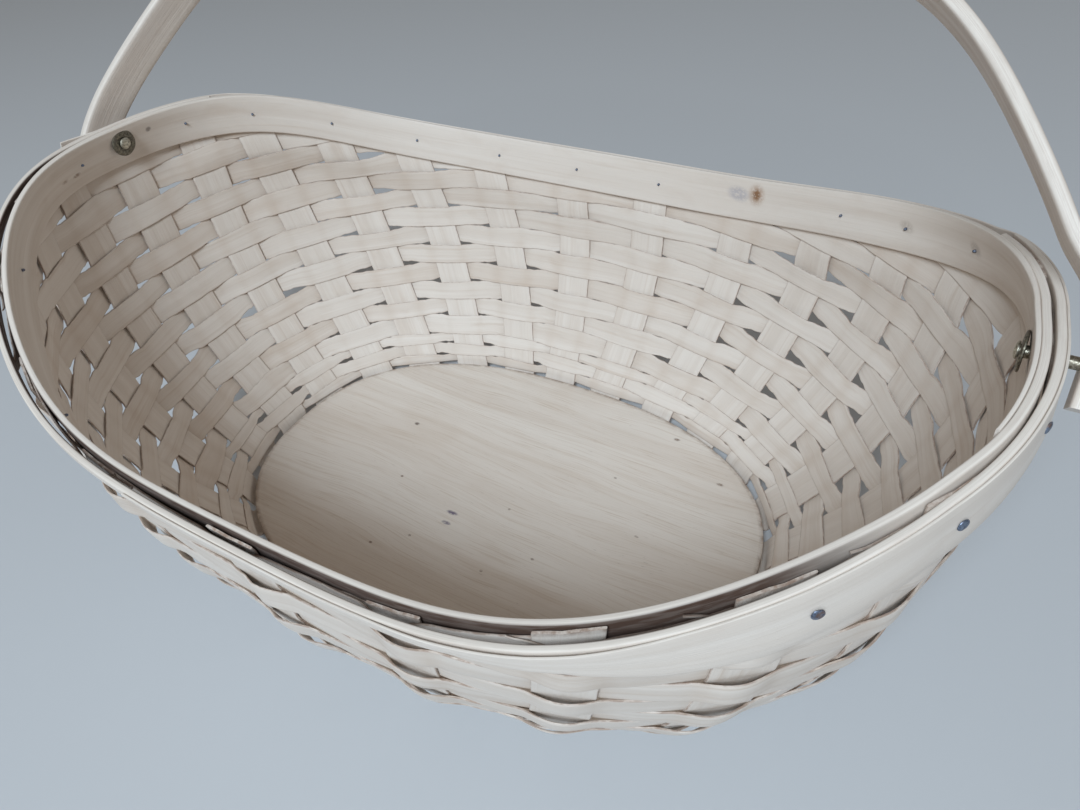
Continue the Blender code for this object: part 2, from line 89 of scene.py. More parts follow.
LENGTHWISE = [(-3, 5), (-4, 6), (-5, 7), (-6, 8), (-7, 9)]
ORDER = sorted(SPLINT_ENDS, key=lambda k: SPLINT_ENDS[k] % 360)
ORDER_BASE = np.array([SPLINT_ENDS[k] for k in ORDER], float)

# openings between two rows where they part beside an upright, as the basket
# shows them: (line between rows, upright, side of it): (height, length)
GAPS = {
    (1, -6, 1): (1.8, 4), (1, -4, 1): (3.7, 14), (1, -2, -1): (1.7, 16), (1, 0, -1): (2.1, 13), (1, 6, -1): (5.3, 10), (1, 6, 1): (4.3, 16), (1, 16, -1): (3.4, 5),
    (2, -7, -1): (10.7, 15), (2, -5, -1): (2.7, 15), (2, -5, 1): (8.1, 15), (2, -3, -1): (1.9, 13), (2, -3, 1): (2.6, 13), (2, -1, -1): (2.3, 10), (2, -1, 1): (1.7, 12), (2, 5, -1): (3.2, 4), (2, 5, 1): (1.5, 7), (2, 7, 1): (3.0, 4),
    (3, -6, -1): (2.1, 4), (3, -6, 1): (3.5, 6), (3, -2, -1): (2.0, 4), (3, 4, -1): (6.8, 10), (3, 6, -1): (4.8, 6), (3, 6, 1): (3.3, 6), (3, 16, -1): (10.1, 13),
    (4, -7, -1): (3.1, 3), (4, -5, 1): (4.3, 12), (4, -3, -1): (2.0, 5), (4, -3, 1): (2.2, 9), (4, -1, -1): (2.0, 6), (4, -1, 1): (2.8, 8), (4, 3, -1): (2.4, 7), (4, 3, 1): (3.0, 16), (4, 5, -1): (3.3, 6), (4, 5, 1): (2.1, 5), (4, 7, 1): (2.4, 3),
    (5, -6, -1): (2.1, 4), (5, -6, 1): (3.3, 6), (5, -4, -1): (1.9, 4), (5, -4, 1): (2.2, 5), (5, -2, -1): (2.5, 10), (5, -2, 1): (3.1, 9), (5, 0, -1): (2.5, 11), (5, 0, 1): (1.6, 5), (5, 4, -1): (7.9, 13), (5, 4, 1): (2.4, 10), (5, 6, -1): (6.3, 11), (5, 6, 1): (2.4, 5), (5, 16, -1): (6.0, 13),
    (6, -7, -1): (4.3, 7), (6, -7, 1): (2.7, 6), (6, -5, -1): (1.9, 4), (6, -5, 1): (1.8, 6), (6, -3, -1): (2.0, 8), (6, -3, 1): (1.7, 6), (6, -1, -1): (2.3, 10), (6, -1, 1): (3.4, 8), (6, 1, 1): (1.9, 5), (6, 3, -1): (3.9, 8), (6, 3, 1): (2.1, 8), (6, 5, -1): (4.3, 8), (6, 5, 1): (2.0, 5), (6, 7, 1): (5.0, 9),
    (7, -6, -1): (4.7, 16), (7, -6, 1): (3.6, 7), (7, -4, -1): (4.2, 21), (7, -4, 1): (4.6, 21), (7, -2, -1): (3.4, 14), (7, -2, 1): (3.2, 18), (7, 0, -1): (3.0, 12), (7, 0, 1): (2.9, 12), (7, 2, -1): (1.8, 7), (7, 2, 1): (1.8, 4), (7, 4, -1): (8.1, 17), (7, 4, 1): (5.2, 15), (7, 6, -1): (11.8, 17), (7, 6, 1): (6.3, 14), (7, 16, -1): (3.4, 6),
    (8, -7, -1): (4.5, 7), (8, -7, 1): (2.6, 6), (8, -5, -1): (1.6, 7), (8, -5, 1): (2.7, 6), (8, -3, -1): (2.4, 8), (8, -3, 1): (1.9, 7), (8, -1, -1): (3.2, 11), (8, -1, 1): (2.3, 9), (8, 1, 1): (1.9, 5), (8, 3, -1): (4.2, 9), (8, 3, 1): (1.9, 8), (8, 5, -1): (6.2, 10), (8, 5, 1): (2.6, 7), (8, 7, -1): (2.2, 10), (8, 7, 1): (6.4, 8),
    (9, -6, -1): (1.3, 6), (9, -6, 1): (3.9, 6), (9, -4, -1): (1.6, 5), (9, -4, 1): (2.1, 6), (9, -2, -1): (3.8, 11), (9, -2, 1): (3.2, 13), (9, 0, 1): (2.7, 11), (9, 2, -1): (1.8, 4), (9, 4, -1): (7.5, 14), (9, 4, 1): (3.8, 9), (9, 6, -1): (6.6, 10), (9, 6, 1): (1.2, 3), (9, 16, -1): (2.8, 4),
    (10, -7, -1): (2.6, 5), (10, -7, 1): (3.1, 5), (10, -5, -1): (1.8, 8), (10, -5, 1): (2.2, 6), (10, -3, -1): (1.7, 8), (10, -1, -1): (3.4, 10), (10, -1, 1): (2.2, 10), (10, 1, 1): (1.8, 13), (10, 3, -1): (2.5, 7), (10, 3, 1): (2.8, 10), (10, 5, -1): (4.4, 10), (10, 5, 1): (5.4, 11), (10, 7, -1): (2.9, 9), (10, 7, 1): (4.3, 7),
    (11, -6, -1): (3.1, 10), (11, -6, 1): (2.8, 7), (11, -4, 1): (1.7, 15), (11, -2, -1): (4.8, 18), (11, -2, 1): (2.7, 11), (11, 4, -1): (7.0, 13), (11, 4, 1): (6.2, 19), (11, 6, -1): (4.4, 9), (11, 6, 1): (1.3, 4), (11, 16, -1): (3.1, 15),
    (12, -7, -1): (4.4, 10), (12, -7, 1): (2.8, 5), (12, -5, -1): (3.4, 15), (12, -5, 1): (2.3, 9), (12, -1, -1): (2.9, 11), (12, 5, -1): (2.5, 6), (12, 5, 1): (2.3, 11), (12, 7, -1): (3.6, 10), (12, 7, 1): (4.8, 10),
    (13, -6, -1): (2.3, 8), (13, -6, 1): (3.4, 9), (13, -4, -1): (1.7, 24), (13, -4, 1): (2.8, 14), (13, -2, -1): (5.4, 25), (13, -2, 1): (1.9, 13), (13, 6, -1): (5.8, 12), (13, 6, 1): (1.5, 3), (13, 16, -1): (2.0, 4),
    (14, -7, -1): (2.7, 7), (14, -7, 1): (2.4, 3), (14, -5, -1): (3.8, 17), (14, -5, 1): (2.7, 9), (14, -3, -1): (1.8, 6), (14, -3, 1): (2.2, 10), (14, 7, -1): (1.8, 4), (14, 7, 1): (6.2, 12),
    (15, -6, 1): (2.5, 11), (15, -4, 1): (1.9, 9),
}


# ------------------------------------------------------------------ the wall
def waves(terms, t):
    total = terms[0] + 0 * t
    for k in range(1, len(terms) // 2 + 1):
        total = total + terms[2 * k - 1] * np.cos(k * t) + terms[2 * k] * np.sin(k * t)
    return total


def smooth(x):
    x = np.clip(x, 0, 1)
    return x * x * (3 - 2 * x)


def rim_z(t):
    return (
        154.75
        + waves(RIM_UP, t)
        + (220.2 - 154.75) * np.abs(np.cos(t)) ** 2.747
        - 2.03 * np.sin(t)
        + 1.43 * np.cos(t)
        - 1.29 * np.sin(2 * t)
        - 1.31 * np.cos(3 * t)
        - 0.76 * np.sin(3 * t)
        - 1.67 * np.cos(4 * t)
    )


def oval(z, t):
    s = np.clip(z / 200, -0.3, 1.3)
    c, w = np.cos(t), np.sin(t)
    g = GA * c * c + GB * w * w + GS * w * np.abs(w)
    g = (1 - np.clip(1 - s / 1.25, 0, None) ** g) / (1 - (1 - 1 / 1.25) ** g)
    a, b = A0 + (A1 - A0) * g, B0 + (B1 - B0) * g
    n = N0 + (N1 - N0) * np.clip(s, 0, 1)
    x = a * np.sign(c) * np.abs(c) ** (2 / n)
    y = b * np.sign(w) * np.abs(w) ** (2 / n)
    out = np.stack([x / a**2, y / b**2], -1)
    out /= np.linalg.norm(out, axis=-1, keepdims=True)
    h = g * (
        H2C * np.cos(2 * t) + H2S * np.sin(2 * t)
        + H3C * np.cos(3 * t) + H3S * np.sin(3 * t)
        + H4C * np.cos(4 * t) + H4S * np.sin(4 * t)
    )
    p = np.stack([x, y], -1) + h[..., None] * out + np.array([DX, DY]) * g[..., None]
    r = TWIST * s
    cr, sr = np.cos(r), np.sin(r)

    def turn(v):
        return np.stack([cr * v[..., 0] - sr * v[..., 1], sr * v[..., 0] + cr * v[..., 1]], -1)

    return turn(p), turn(out)


def rim_push(z, t):
    below = rim_z(t) - z
    top, tilt = waves(RIM_OUT, t), waves(RIM_TILT, t)
    return np.where(
        below < HOOP_H,
        top + tilt * below / HOOP_H,
        (top + tilt) * (1 - smooth((below - HOOP_H) / RIM_FADE)),
    )


LEAN_IN = 2.0


def wall(z, t, off=0.0):
    """Middle of the wall at height z and angle t, off further out. Arrays of one shape."""
    z, t, off = np.broadcast_arrays(np.asarray(z, float), np.asarray(t, float), np.asarray(off, float))
    f = ((z - FOOT) / (4.4 - FOOT))[..., None]
    low, n_low = oval(0 * z, t)
    high, n_high = oval(0 * z + 4.4, t)
    p_low = (1 - f) * (low + 4.6 * n_low) + f * (high + 3.1 * n_high)
    p, out = oval(z, t)
    ease = 2.3 + 0.8 * (1 - smooth((z - 4.4) / 100))
    ease = ease + 3.0 * smooth((z - rim_z(t) + 45) / 25) + rim_push(z, t)
    # at the near left the hoops lean in further than the wall below them
    degrees = np.degrees(t) % 360
    here = smooth((degrees - 176) / 24) * (1 - smooth((degrees - 296) / 24))
    below = rim_z(t) - z
    ease = ease - LEAN_IN * here * np.clip(below / 26, 0, 1) * (1 - smooth((below - 24) / 16))
    p_high = p + ease[..., None] * out
    foot = (z <= 4.4)[..., None]
    p, out = np.where(foot, p_low, p_high), np.where(foot, n_high, out)
    p = p + off[..., None] * out
    return np.concatenate([p - SHIFT, (z + FLOOR_TOP)[..., None]], -1)


def wall_shift(z, t):
    """Between the hoops the uprights and weavers lie against the inner hoop."""
    near_rim = smooth((z - rim_z(t) + 62) / 34)
    lap = lap_push(np.degrees(t))
    return near_rim * (-WALL_IN + lap)


def rise(base, z):
    lean = LEAN_AT[base]
    return np.radians(base + lean * np.clip(np.asarray(z, float) / 200, 0, 1.1))


def around(deg, start):
    """The same angle, in degrees, in the turn that begins at start."""
    return (np.asarray(deg, float) - start) % 360 + start


def lap_push(deg):
    """How far the inner hoop's own lap, at the right end, pushes the wall out."""
    d = around(deg, -180)
    return 2.3 * smooth((d + 30) / 14) * (1 - smooth((d - 18) / 8))


def mm_per_rad(z, t):
    d = 0.004
    return np.linalg.norm(wall(z, t + d) - wall(z, t - d), axis=-1) / (2 * d)


def turned_in(x):
    return (x + np.pi) % (2 * np.pi) - np.pi


# ----------------------------------------------------------------- materials
class Nodes:
    """A material made of nodes, with short calls for the ones used here."""

    def __init__(self, name):
        self.mat = bpy.data.materials.new(name)
        self.mat.use_nodes = True
        self.tree = self.mat.node_tree
        self.shader = self.tree.nodes["Principled BSDF"]

    def new(self, kind, **values):
        node = self.tree.nodes.new(kind)
        for key, value in values.items():
            setattr(node, key, value)
        return node

    def put(self, socket, value):
        if isinstance(value, bpy.types.NodeSocket):
            self.tree.links.new(value, socket)
        elif value is not None:
            socket.default_value = value

    def uv(self):
        return self.new("ShaderNodeUVMap", uv_map="grain").outputs[0]

    def place(self):
        return self.new("ShaderNodeTexCoord").outputs["Object"]

    def value(self, name):
        return self.new("ShaderNodeAttribute", attribute_name=name).outputs["Fac"]

    def scaled(self, vector, scale, shift=(0, 0, 0)):
        node = self.new("ShaderNodeMapping")
        self.put(node.inputs["Vector"], vector)
        node.inputs["Scale"].default_value = scale
        node.inputs["Location"].default_value = shift
        return node.outputs[0]

    def noise(self, vector, detail=3.0, rough=0.55, distort=0.0):
        node = self.new("ShaderNodeTexNoise")
        self.put(node.inputs["Vector"], vector)
        node.inputs["Scale"].default_value = 1.0
        node.inputs["Detail"].default_value = detail
        node.inputs["Roughness"].default_value = rough
        node.inputs["Distortion"].default_value = distort
        return node.outputs[0]

    def span(self, value, low, high, to_low=0.0, to_high=1.0, soft=True):
        node = self.new("ShaderNodeMapRange")
        node.interpolation_type = "SMOOTHSTEP" if soft else "LINEAR"
        node.clamp = True
        self.put(node.inputs["Value"], value)
        for key, number in (
            ("From Min", low), ("From Max", high), ("To Min", to_low), ("To Max", to_high),
        ):
            node.inputs[key].default_value = number
        return node.outputs[0]

    def math(self, how, a, b=None, c=None, clamp=False):
        node = self.new("ShaderNodeMath", operation=how, use_clamp=clamp)
        for socket, value in zip(node.inputs, (a, b, c)):
            self.put(socket, value)
        return node.outputs[0]

    def mix(self, factor, a, b, how="MIX"):
        node = self.new("ShaderNodeMix", data_type="RGBA", blend_type=how)
        node.clamp_factor = True
        self.put(node.inputs[0], factor)
        for socket, value in ((node.inputs[6], a), (node.inputs[7], b)):
            if isinstance(value, tuple):
                value = (*value, 1.0)
            self.put(socket, value)
        return node.outputs[2]

    def spot(self, vector, at, size):
        """1 in a soft oval of this half size round a place, 0 outside."""
        shifted = self.new("ShaderNodeVectorMath", operation="SUBTRACT")
        self.put(shifted.inputs[0], vector)
        shifted.inputs[1].default_value = tuple(c * MM for c in at)
        divided = self.new("ShaderNodeVectorMath", operation="DIVIDE")
        self.put(divided.inputs[0], shifted.outputs[0])
        divided.inputs[1].default_value = tuple(c * MM for c in size)
        length = self.new("ShaderNodeVectorMath", operation="LENGTH")
        self.put(length.inputs[0], divided.outputs[0])
        return self.span(length.outputs["Value"], 1.0, 0.35)

    def bump(self, height, distance, strength=1.0, normal=None):
        node = self.new("ShaderNodeBump")
        node.inputs["Strength"].default_value = strength
        node.inputs["Distance"].default_value = distance
        self.put(node.inputs["Height"], height)
        self.put(node.inputs["Normal"], normal)
        return node.outputs[0]


def wood(name, base, pale, tan, brown, spots=(), fibre=1.0, gloss=0.6, bump=1.0, blotch=1.0, fuzz=0.85, crest=None):
    """Split wood along the UV map: fine fibres, wider streaks, soft blotches, dark pores, brown fuzzy edges, stains at
    places, and painted shade in the gap between the hoops, from an attribute.
    """
    m = Nodes(name)
    uv, place = m.uv(), m.place()
    fine = m.noise(m.scaled(uv, (28, 1500, 1)), 3.0, 0.6, 0.25)
    mid = m.noise(m.scaled(uv, (9, 420, 1), (3.1, 7.7, 0)), 3.0, 0.55, 0.5)
    wide = m.noise(m.scaled(uv, (4, 110, 1), (9.3, 1.9, 0)), 2.0, 0.5, 0.6)
    cloud = m.noise(m.scaled(uv, (26, 60, 1), (5.5, 2.2, 0)), 3.0, 0.6, 0.4)
    pore = m.noise(m.scaled(uv, (90, 2600, 1), (1.3, 4.1, 0)), 2.0, 0.6)
    tint = m.value("tint")
    colour = m.mix(m.span(wide, 0.30, 0.72), base, pale)
    colour = m.mix(m.math("MULTIPLY", m.span(mid, 0.50, 0.78), 0.34 * fibre), colour, tan)
    colour = m.mix(m.math("MULTIPLY", m.span(fine, 0.50, 0.80), 0.26 * fibre), colour, tan)
    colour = m.mix(m.math("MULTIPLY", m.span(fine, 0.46, 0.22), 0.30 * fibre), colour, pale)
    colour = m.mix(m.math("MULTIPLY", m.span(pore, 0.66, 0.82), 0.26 * fibre), colour, brown)
    colour = m.mix(m.math("MULTIPLY", m.span(cloud, 0.50, 0.78), 0.30 * blotch), colour, tan)
    # how light or dark this strip is here; on the weavers this also carries painted shade beside the uprights
    colour = m.mix(m.span(tint, 0.5, 1.0, 0.0, 0.7, False), colour, pale)
    colour = m.mix(m.span(tint, 0.5, 0.0, 0.0, 0.5, False), colour, tan)
    # fuzzy, darker edges, broken along the strip
    ragged = m.noise(m.scaled(uv, (170, 260, 1), (2.7, 8.3, 0)), 3.0, 0.6)
    edge = m.math("MULTIPLY", m.value("edge"), m.span(ragged, 0.36, 0.62, 0.25, 1.0))
    colour = m.mix(m.math("MULTIPLY", edge, fuzz), colour, brown)
    if crest:
        shown = m.math("MULTIPLY", m.span(m.value("edge"), 0.15, 0.8, 0.0, 0.85), m.span(fine, 0.36, 0.62, 1.0, 0.35))
        colour = m.mix(shown, colour, crest)
    # painted shade: where this attribute is set, in the gap between the hoops, the wood is mixed to near black-brown
    gap_shade = m.value("gap_shade")
    broken = m.span(m.noise(m.scaled(uv, (60, 500, 1), (6.1, 3.3, 0)), 3.0, 0.6), 0.35, 0.62)
    colour = m.mix(m.math("MULTIPLY", gap_shade, m.span(broken, 0, 1, 0.9, 1.0), None, True), colour, (0.085, 0.048, 0.034))
    for at, size, tone, strength in spots:
        here = m.math("MULTIPLY", m.spot(place, at, size), strength)
        ragged_here = m.span(m.noise(m.scaled(place, (700, 700, 700)), 2.0, 0.6), 0.30, 0.55, 0.35, 1.0)
        colour = m.mix(m.math("MULTIPLY", here, ragged_here), colour, tone)
    m.put(m.shader.inputs["Base Color"], colour)
    rough = m.span(mid, 0.25, 0.75, gloss - 0.07, gloss + 0.12)
    m.put(m.shader.inputs["Roughness"], rough)
    m.shader.inputs["Specular IOR Level"].default_value = 0.38
    m.shader.inputs["Sheen Weight"].default_value = 0.06
    coarse = m.math("ADD", m.math("MULTIPLY", mid, 0.7), m.math("MULTIPLY", fine, 0.5))
    normal = m.bump(coarse, 0.00025 * bump, 0.8)
    normal = m.bump(pore, 0.00008 * bump, 0.6, normal)
    m.put(m.shader.inputs["Normal"], normal)
    return m.mat


def plywood(name, base, pale, tan, brown, spots):
    """Rotary-cut face veneer: broad wavy figure along the long axis, fine pores and a few stains."""
    m = Nodes(name)
    uv, place = m.uv(), m.place()
    warp = m.noise(m.scaled(place, (5, 14, 1), (1.2, 3.4, 0)), 2.0, 0.5)
    shifted = m.new("ShaderNodeVectorMath", operation="ADD")
    bent = m.new("ShaderNodeCombineXYZ")
    m.put(bent.inputs[1], m.math("MULTIPLY", m.math("SUBTRACT", warp, 0.5), 0.030))
    m.put(shifted.inputs[0], uv)
    m.put(shifted.inputs[1], bent.outputs[0])
    flow = shifted.outputs[0]
    figure = m.noise(m.scaled(flow, (3.6, 150, 1)), 4.0, 0.6, 0.5)
    band = m.noise(m.scaled(flow, (2.2, 30, 1), (4.4, 1.7, 0)), 2.0, 0.5, 0.4)
    fine = m.noise(m.scaled(flow, (24, 1100, 1), (2.3, 5.1, 0)), 3.0, 0.6, 0.2)
    pore = m.noise(m.scaled(flow, (130, 1900, 1), (7.3, 2.1, 0)), 2.0, 0.6)
    cloud = m.noise(m.scaled(place, (11, 13, 1), (0.4, 6.4, 0)), 3.0, 0.6)
    colour = m.mix(m.span(band, 0.3, 0.7), base, pale)
    colour = m.mix(m.math("MULTIPLY", m.span(figure, 0.46, 0.74), 0.30), colour, tan)
    colour = m.mix(m.math("MULTIPLY", m.span(fine, 0.48, 0.76), 0.55), colour, tan)
    colour = m.mix(m.math("MULTIPLY", m.span(fine, 0.46, 0.22), 0.22), colour, pale)
    colour = m.mix(m.math("MULTIPLY", m.span(pore, 0.64, 0.80), 0.50), colour, brown)
    colour = m.mix(m.math("MULTIPLY", m.span(cloud, 0.52, 0.78), 0.22), colour, tan)
    ragged = m.noise(m.scaled(place, (160, 160, 160)), 3.0, 0.6)
    edge = m.math("MULTIPLY", m.value("edge"), m.span(ragged, 0.35, 0.65, 0.3, 1.0))
    colour = m.mix(m.math("MULTIPLY", edge, 0.80), colour, brown)
    for at, size, tone, strength in spots:
        here = m.math("MULTIPLY", m.spot(place, at, size), strength)
        ragged_here = m.span(m.noise(m.scaled(place, (600, 900, 600)), 2.0, 0.6), 0.30, 0.55, 0.3, 1.0)
        colour = m.mix(m.math("MULTIPLY", here, ragged_here), colour, tone)
    m.put(m.shader.inputs["Base Color"], colour)
    m.put(m.shader.inputs["Roughness"], m.span(figure, 0.2, 0.8, 0.50, 0.68))
    m.shader.inputs["Specular IOR Level"].default_value = 0.4
    normal = m.bump(m.math("ADD", m.math("MULTIPLY", fine, 0.6), figure), 0.00012, 0.7)
    normal = m.bump(pore, 0.00006, 0.6, normal)
    m.put(m.shader.inputs["Normal"], normal)
    return m.mat


def metal(name, bright, dull, rust, rough):
    """Old metal: worn bright on top, dull in the pits, with rust or tarnish in patches."""
    m = Nodes(name)
    place = m.place()
    pits = m.noise(m.scaled(place, (900, 900, 900)), 4.0, 0.65)
    patch = m.noise(m.scaled(place, (260, 260, 260), (3.1, 1.7, 8.2)), 3.0, 0.6)
    scratch = m.noise(m.scaled(place, (2600, 300, 1500), (0.7, 6.1, 2.9)), 2.0, 0.5)
    colour = m.mix(m.span(pits, 0.35, 0.68), dull, bright)
    worn = m.math("MULTIPLY", m.value("edge"), m.span(scratch, 0.35, 0.6))
    colour = m.mix(m.math("MULTIPLY", worn, 0.8), colour, bright)
    colour = m.mix(m.math("MULTIPLY", m.span(patch, 0.50, 0.66), 0.85), colour, rust)
    m.put(m.shader.inputs["Base Color"], colour)
    m.put(m.shader.inputs["Metallic"], m.span(patch, 0.50, 0.66, 0.95, 0.25))
    m.put(m.shader.inputs["Roughness"], m.span(pits, 0.3, 0.7, rough + 0.18, rough - 0.08))
    m.put(m.shader.inputs["Normal"], m.bump(m.math("ADD", pits, m.math("MULTIPLY", scratch, 0.4)), 0.0002, 0.7))
    return m.mat


# --------------------------------------------------------------- mesh making
rng = np.random.default_rng(7)


def wander(length, size, scale, closed=False):
    """A smooth random line: a value for each place in `length` (mm), about `size` high, with waves of about `scale` mm."""
    total = float(length[-1] - length[0]) or 1.0
    out = np.zeros(len(length))
    count = 7
    for i in range(count):
        waves_in = max(1.0, total / scale * (0.35 + 1.3 * i / count))
        if closed:
            waves_in = round(waves_in)
        out += rng.normal() * np.sin(2 * np.pi * waves_in * (length - length[0]) / total + rng.uniform(0, 6.283)) / (1 + 0.35 * i)
    return out * size / 1.6


def mesh_piece(name, points, faces, uvs, attributes, material, nodes, body="basket", smooth_to=32):
    mesh = bpy.data.meshes.new(name)
    mesh.from_pydata((np.asarray(points) * MM).tolist(), [], faces)
    layer = mesh.uv_layers.new(name="grain")
    layer.data.foreach_set("uv", np.asarray(uvs, np.float32).ravel() * MM)
    for key, values in attributes.items():
        made = mesh.attributes.new(key, "FLOAT", "POINT")
        made.data.foreach_set("value", np.asarray(values, np.float32).ravel())
    mesh.materials.append(material)
    mesh.validate()
    mesh.polygons.foreach_set("use_smooth", [True] * len(mesh.polygons))
    mesh.set_sharp_from_angle(angle=math.radians(smooth_to))
    mesh.update()
    piece = bpy.data.objects.new(name, mesh)
    bpy.context.scene.collection.objects.link(piece)
    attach(piece, body)
    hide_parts(*nodes)
    return piece


def strip(name, P, half, material, node, closed=False, tint=0.5, gap_shade=0.0, edge_reach=0.9, body="basket", end_edge=True):
    """A bent strip: P[n along, m across] is its middle surface, half its half thickness there."""
    n, m = P.shape[:2]
    if closed:
        along = np.roll(P, -1, 0) - np.roll(P, 1, 0)
    else:
        along = np.gradient(P, axis=0)
    across = np.gradient(P, axis=1)
    normal = np.cross(along, across)
    normal /= np.linalg.norm(normal, axis=-1, keepdims=True) + 1e-12
    half = np.broadcast_to(half, (n, m))[..., None]
    ring = np.concatenate([P + normal * half, (P - normal * half)[:, ::-1]], 1)
    R = 2 * m
    # lengths along and across
    mid = P[:, m // 2]
    step = np.linalg.norm(np.diff(np.concatenate([mid, mid[:1]]) if closed else mid, axis=0), axis=1)
    u = np.concatenate([[0], np.cumsum(step)])
    width = np.concatenate([[0], np.cumsum(np.linalg.norm(np.diff(P[n // 2], axis=0), axis=1))])
    u0, v0 = rng.uniform(0, 4000, 2)
    faces, uvs = [], []
    count = n if closed else n - 1
    thick = 2 * float(half.max())
    for i in range(count):
        i2 = (i + 1) % n
        ua, ub = u[i] + u0, u[i + 1] + u0
        for j in range(R):
            j2 = (j + 1) % R
            faces.append((i * R + j, i2 * R + j, i2 * R + j2, i * R + j2))
            if j < m - 1:
                va, vb = width[j], width[j + 1]
            elif j == m - 1:
                va, vb = width[m - 1], width[m - 1] + thick
            elif j < R - 1:
                va, vb = 500 + width[R - 1 - j], 500 + width[R - 2 - j]
            else:
                va, vb = width[0] - thick, width[0]
            va, vb = va + v0, vb + v0
            uvs += [(ua, va), (ub, va), (ub, vb), (ua, vb)]
    if not closed:
        last = (n - 1) * R
        for j in range(m - 1):
            faces.append((j, j + 1, R - 2 - j, R - 1 - j))
            faces.append((last + R - 1 - j, last + R - 2 - j, last + j + 1, last + j))
            a, b = width[j] + v0, width[j + 1] + v0
            uvs += [(u0, a), (u0, b), (u0 + 2, b), (u0 + 2, a)]
            uvs += [(u0 + 2, a), (u0 + 2, b), (u0, b), (u0, a)]
    inside = np.minimum(width, width[-1] - width)
    edge = np.exp(-((inside / edge_reach) ** 2))
    edge = np.broadcast_to(edge, (n, m)).copy()
    if not closed and end_edge:
        from_end = np.minimum(u[:n], u[n - 1] - u[:n])
        edge = np.maximum(edge, np.exp(-((from_end / edge_reach) ** 2))[:, None])
    tint = np.broadcast_to(np.asarray(tint, float).reshape(-1, 1) if np.ndim(tint) == 1 else tint, (n, m))
    # painted shade, for the front and the back faces
    front, back = gap_shade if isinstance(gap_shade, tuple) else (gap_shade, gap_shade)
    gap_shade = np.concatenate([np.broadcast_to(front, (n, m)), np.broadcast_to(back, (n, m))[:, ::-1]], 1)

    def both(a):
        return np.concatenate([a, a[:, ::-1]], 1)

    return mesh_piece(
        name, ring.reshape(-1, 3), faces, uvs,
        {"edge": both(edge), "tint": both(tint), "gap_shade": gap_shade},
        material, [node], body,
    )


def columns(low, high, inner=3, reach=1.6):
    """Places across a strip, with the extra ones near its edges that round them. low and high are arrays along it."""
    low, high = np.asarray(low, float), np.asarray(high, float)
    width = high - low
    shrink = np.clip(width / 6.0, 0.02, 1.0)
    near = np.array([0.0, 0.12, 0.4, 1.0]) * reach
    cols = [low + d * shrink for d in near]
    for i in range(inner):
        f = (i + 1) / (inner + 1)
        cols.append(low + near[-1] * shrink + (width - 2 * near[-1] * shrink) * f)
    cols += [high - d * shrink for d in near[::-1]]
    return np.stack(cols, -1)


def rounded(m, thick, reach=1.0, blunt=0.5):
    """Half thickness at each column of columns(): full in the middle, rounded at both edges."""
    near = np.array([0.0, 0.12, 0.4, 1.0]) * reach
    f = blunt + (1 - blunt) * np.sqrt(np.clip(1 - (1 - near) ** 2, 0, 1)) if reach == 1.0 else None
    if f is None:
        f = blunt + (1 - blunt) * np.sqrt(np.clip(1 - (1 - np.array([0.0, 0.12, 0.4, 1.0])) ** 2, 0, 1))
    half = np.ones(m)
    half[:4] = f
    half[-4:] = f[::-1]
    return half * thick / 2


def lathe(name, profile, at, way, material, node, segments=32, wobble=0.0, body="basket", worn=None):
    """A turned piece: (radius, distance) pairs from one pole to the other, round `way` from `at`."""
    way = np.array(way, float)
    way /= np.linalg.norm(way)
    other = np.cross(way, (0, 0, 1))
    other /= np.linalg.norm(other)
    third = np.cross(way, other)
    points, faces, uvs, edge = [], [], [], []
    rings = []
    angle = 2 * np.pi * np.arange(segments) / segments
    bend = 1 + wobble * (0.6 * np.sin(2 * angle + 1.1) + 0.4 * np.sin(5 * angle + 0.3))
    for index, (radius, d) in enumerate(profile):
        w = (worn or [0] * len(profile))[index]
        if radius == 0:
            rings.append([len(points)])
            points.append(np.array(at) + way * d)
            edge.append(w)
            continue
        rings.append(list(range(len(points), len(points) + segments)))
        for a, b in zip(angle, bend):
            points.append(np.array(at) + way * d + radius * b * (math.cos(a) * other + math.sin(a) * third))
            edge.append(w)
    run = 0.0
    for k in range(len(rings) - 1):
        first, second = rings[k], rings[k + 1]
        length = math.dist(profile[k], profile[k + 1])
        for i in range(segments):
            j = (i + 1) % segments
            ua, ub = 20.0 * i / segments, 20.0 * (i + 1) / segments
            if len(first) == 1 and len(second) == 1:
                continue
            if len(first) == 1:
                faces.append((first[0], second[j], second[i]))
                uvs += [(ua, run), (ub, run + length), (ua, run + length)]
            elif len(second) == 1:
                faces.append((first[i], first[j], second[0]))
                uvs += [(ua, run), (ub, run), (ua, run + length)]
            else:
                faces.append((first[i], first[j], second[j], second[i]))
                uvs += [(ua, run), (ub, run), (ub, run + length), (ua, run + length)]
        run += length
    points = np.array(points)
    volume = 0.0
    for face in faces:
        for q in range(1, len(face) - 1):
            volume += np.dot(points[face[0]], np.cross(points[face[q]], points[face[q + 1]]))
    if volume < 0:
        flipped, k, order = [], 0, []
        for face in faces:
            order += list(range(k + len(face) - 1, k - 1, -1))
            k += len(face)
            flipped.append(tuple(reversed(face)))
        uvs = [uvs[o] for o in order]
        faces = flipped
    return mesh_piece(
        name, points, faces, uvs,
        {"edge": edge, "tint": [0.5] * len(points), "gap_shade": [0.0] * len(points)},
        material, [node], body, smooth_to=40,
    )


# --------------------------------------------------------------- the colours
BASE, PALE, TAN, BROWN = (0.67, 0.585, 0.51), (0.75, 0.675, 0.605), (0.52, 0.395, 0.30), (0.21, 0.105, 0.06)
INNER = -6.6  # the inner hoop's inner face, from the middle of the wall


def on_rim(degrees, down):
    t = math.radians(degrees)
    return tuple(float(c) for c in wall(float(rim_z(t)) - down, t, INNER))


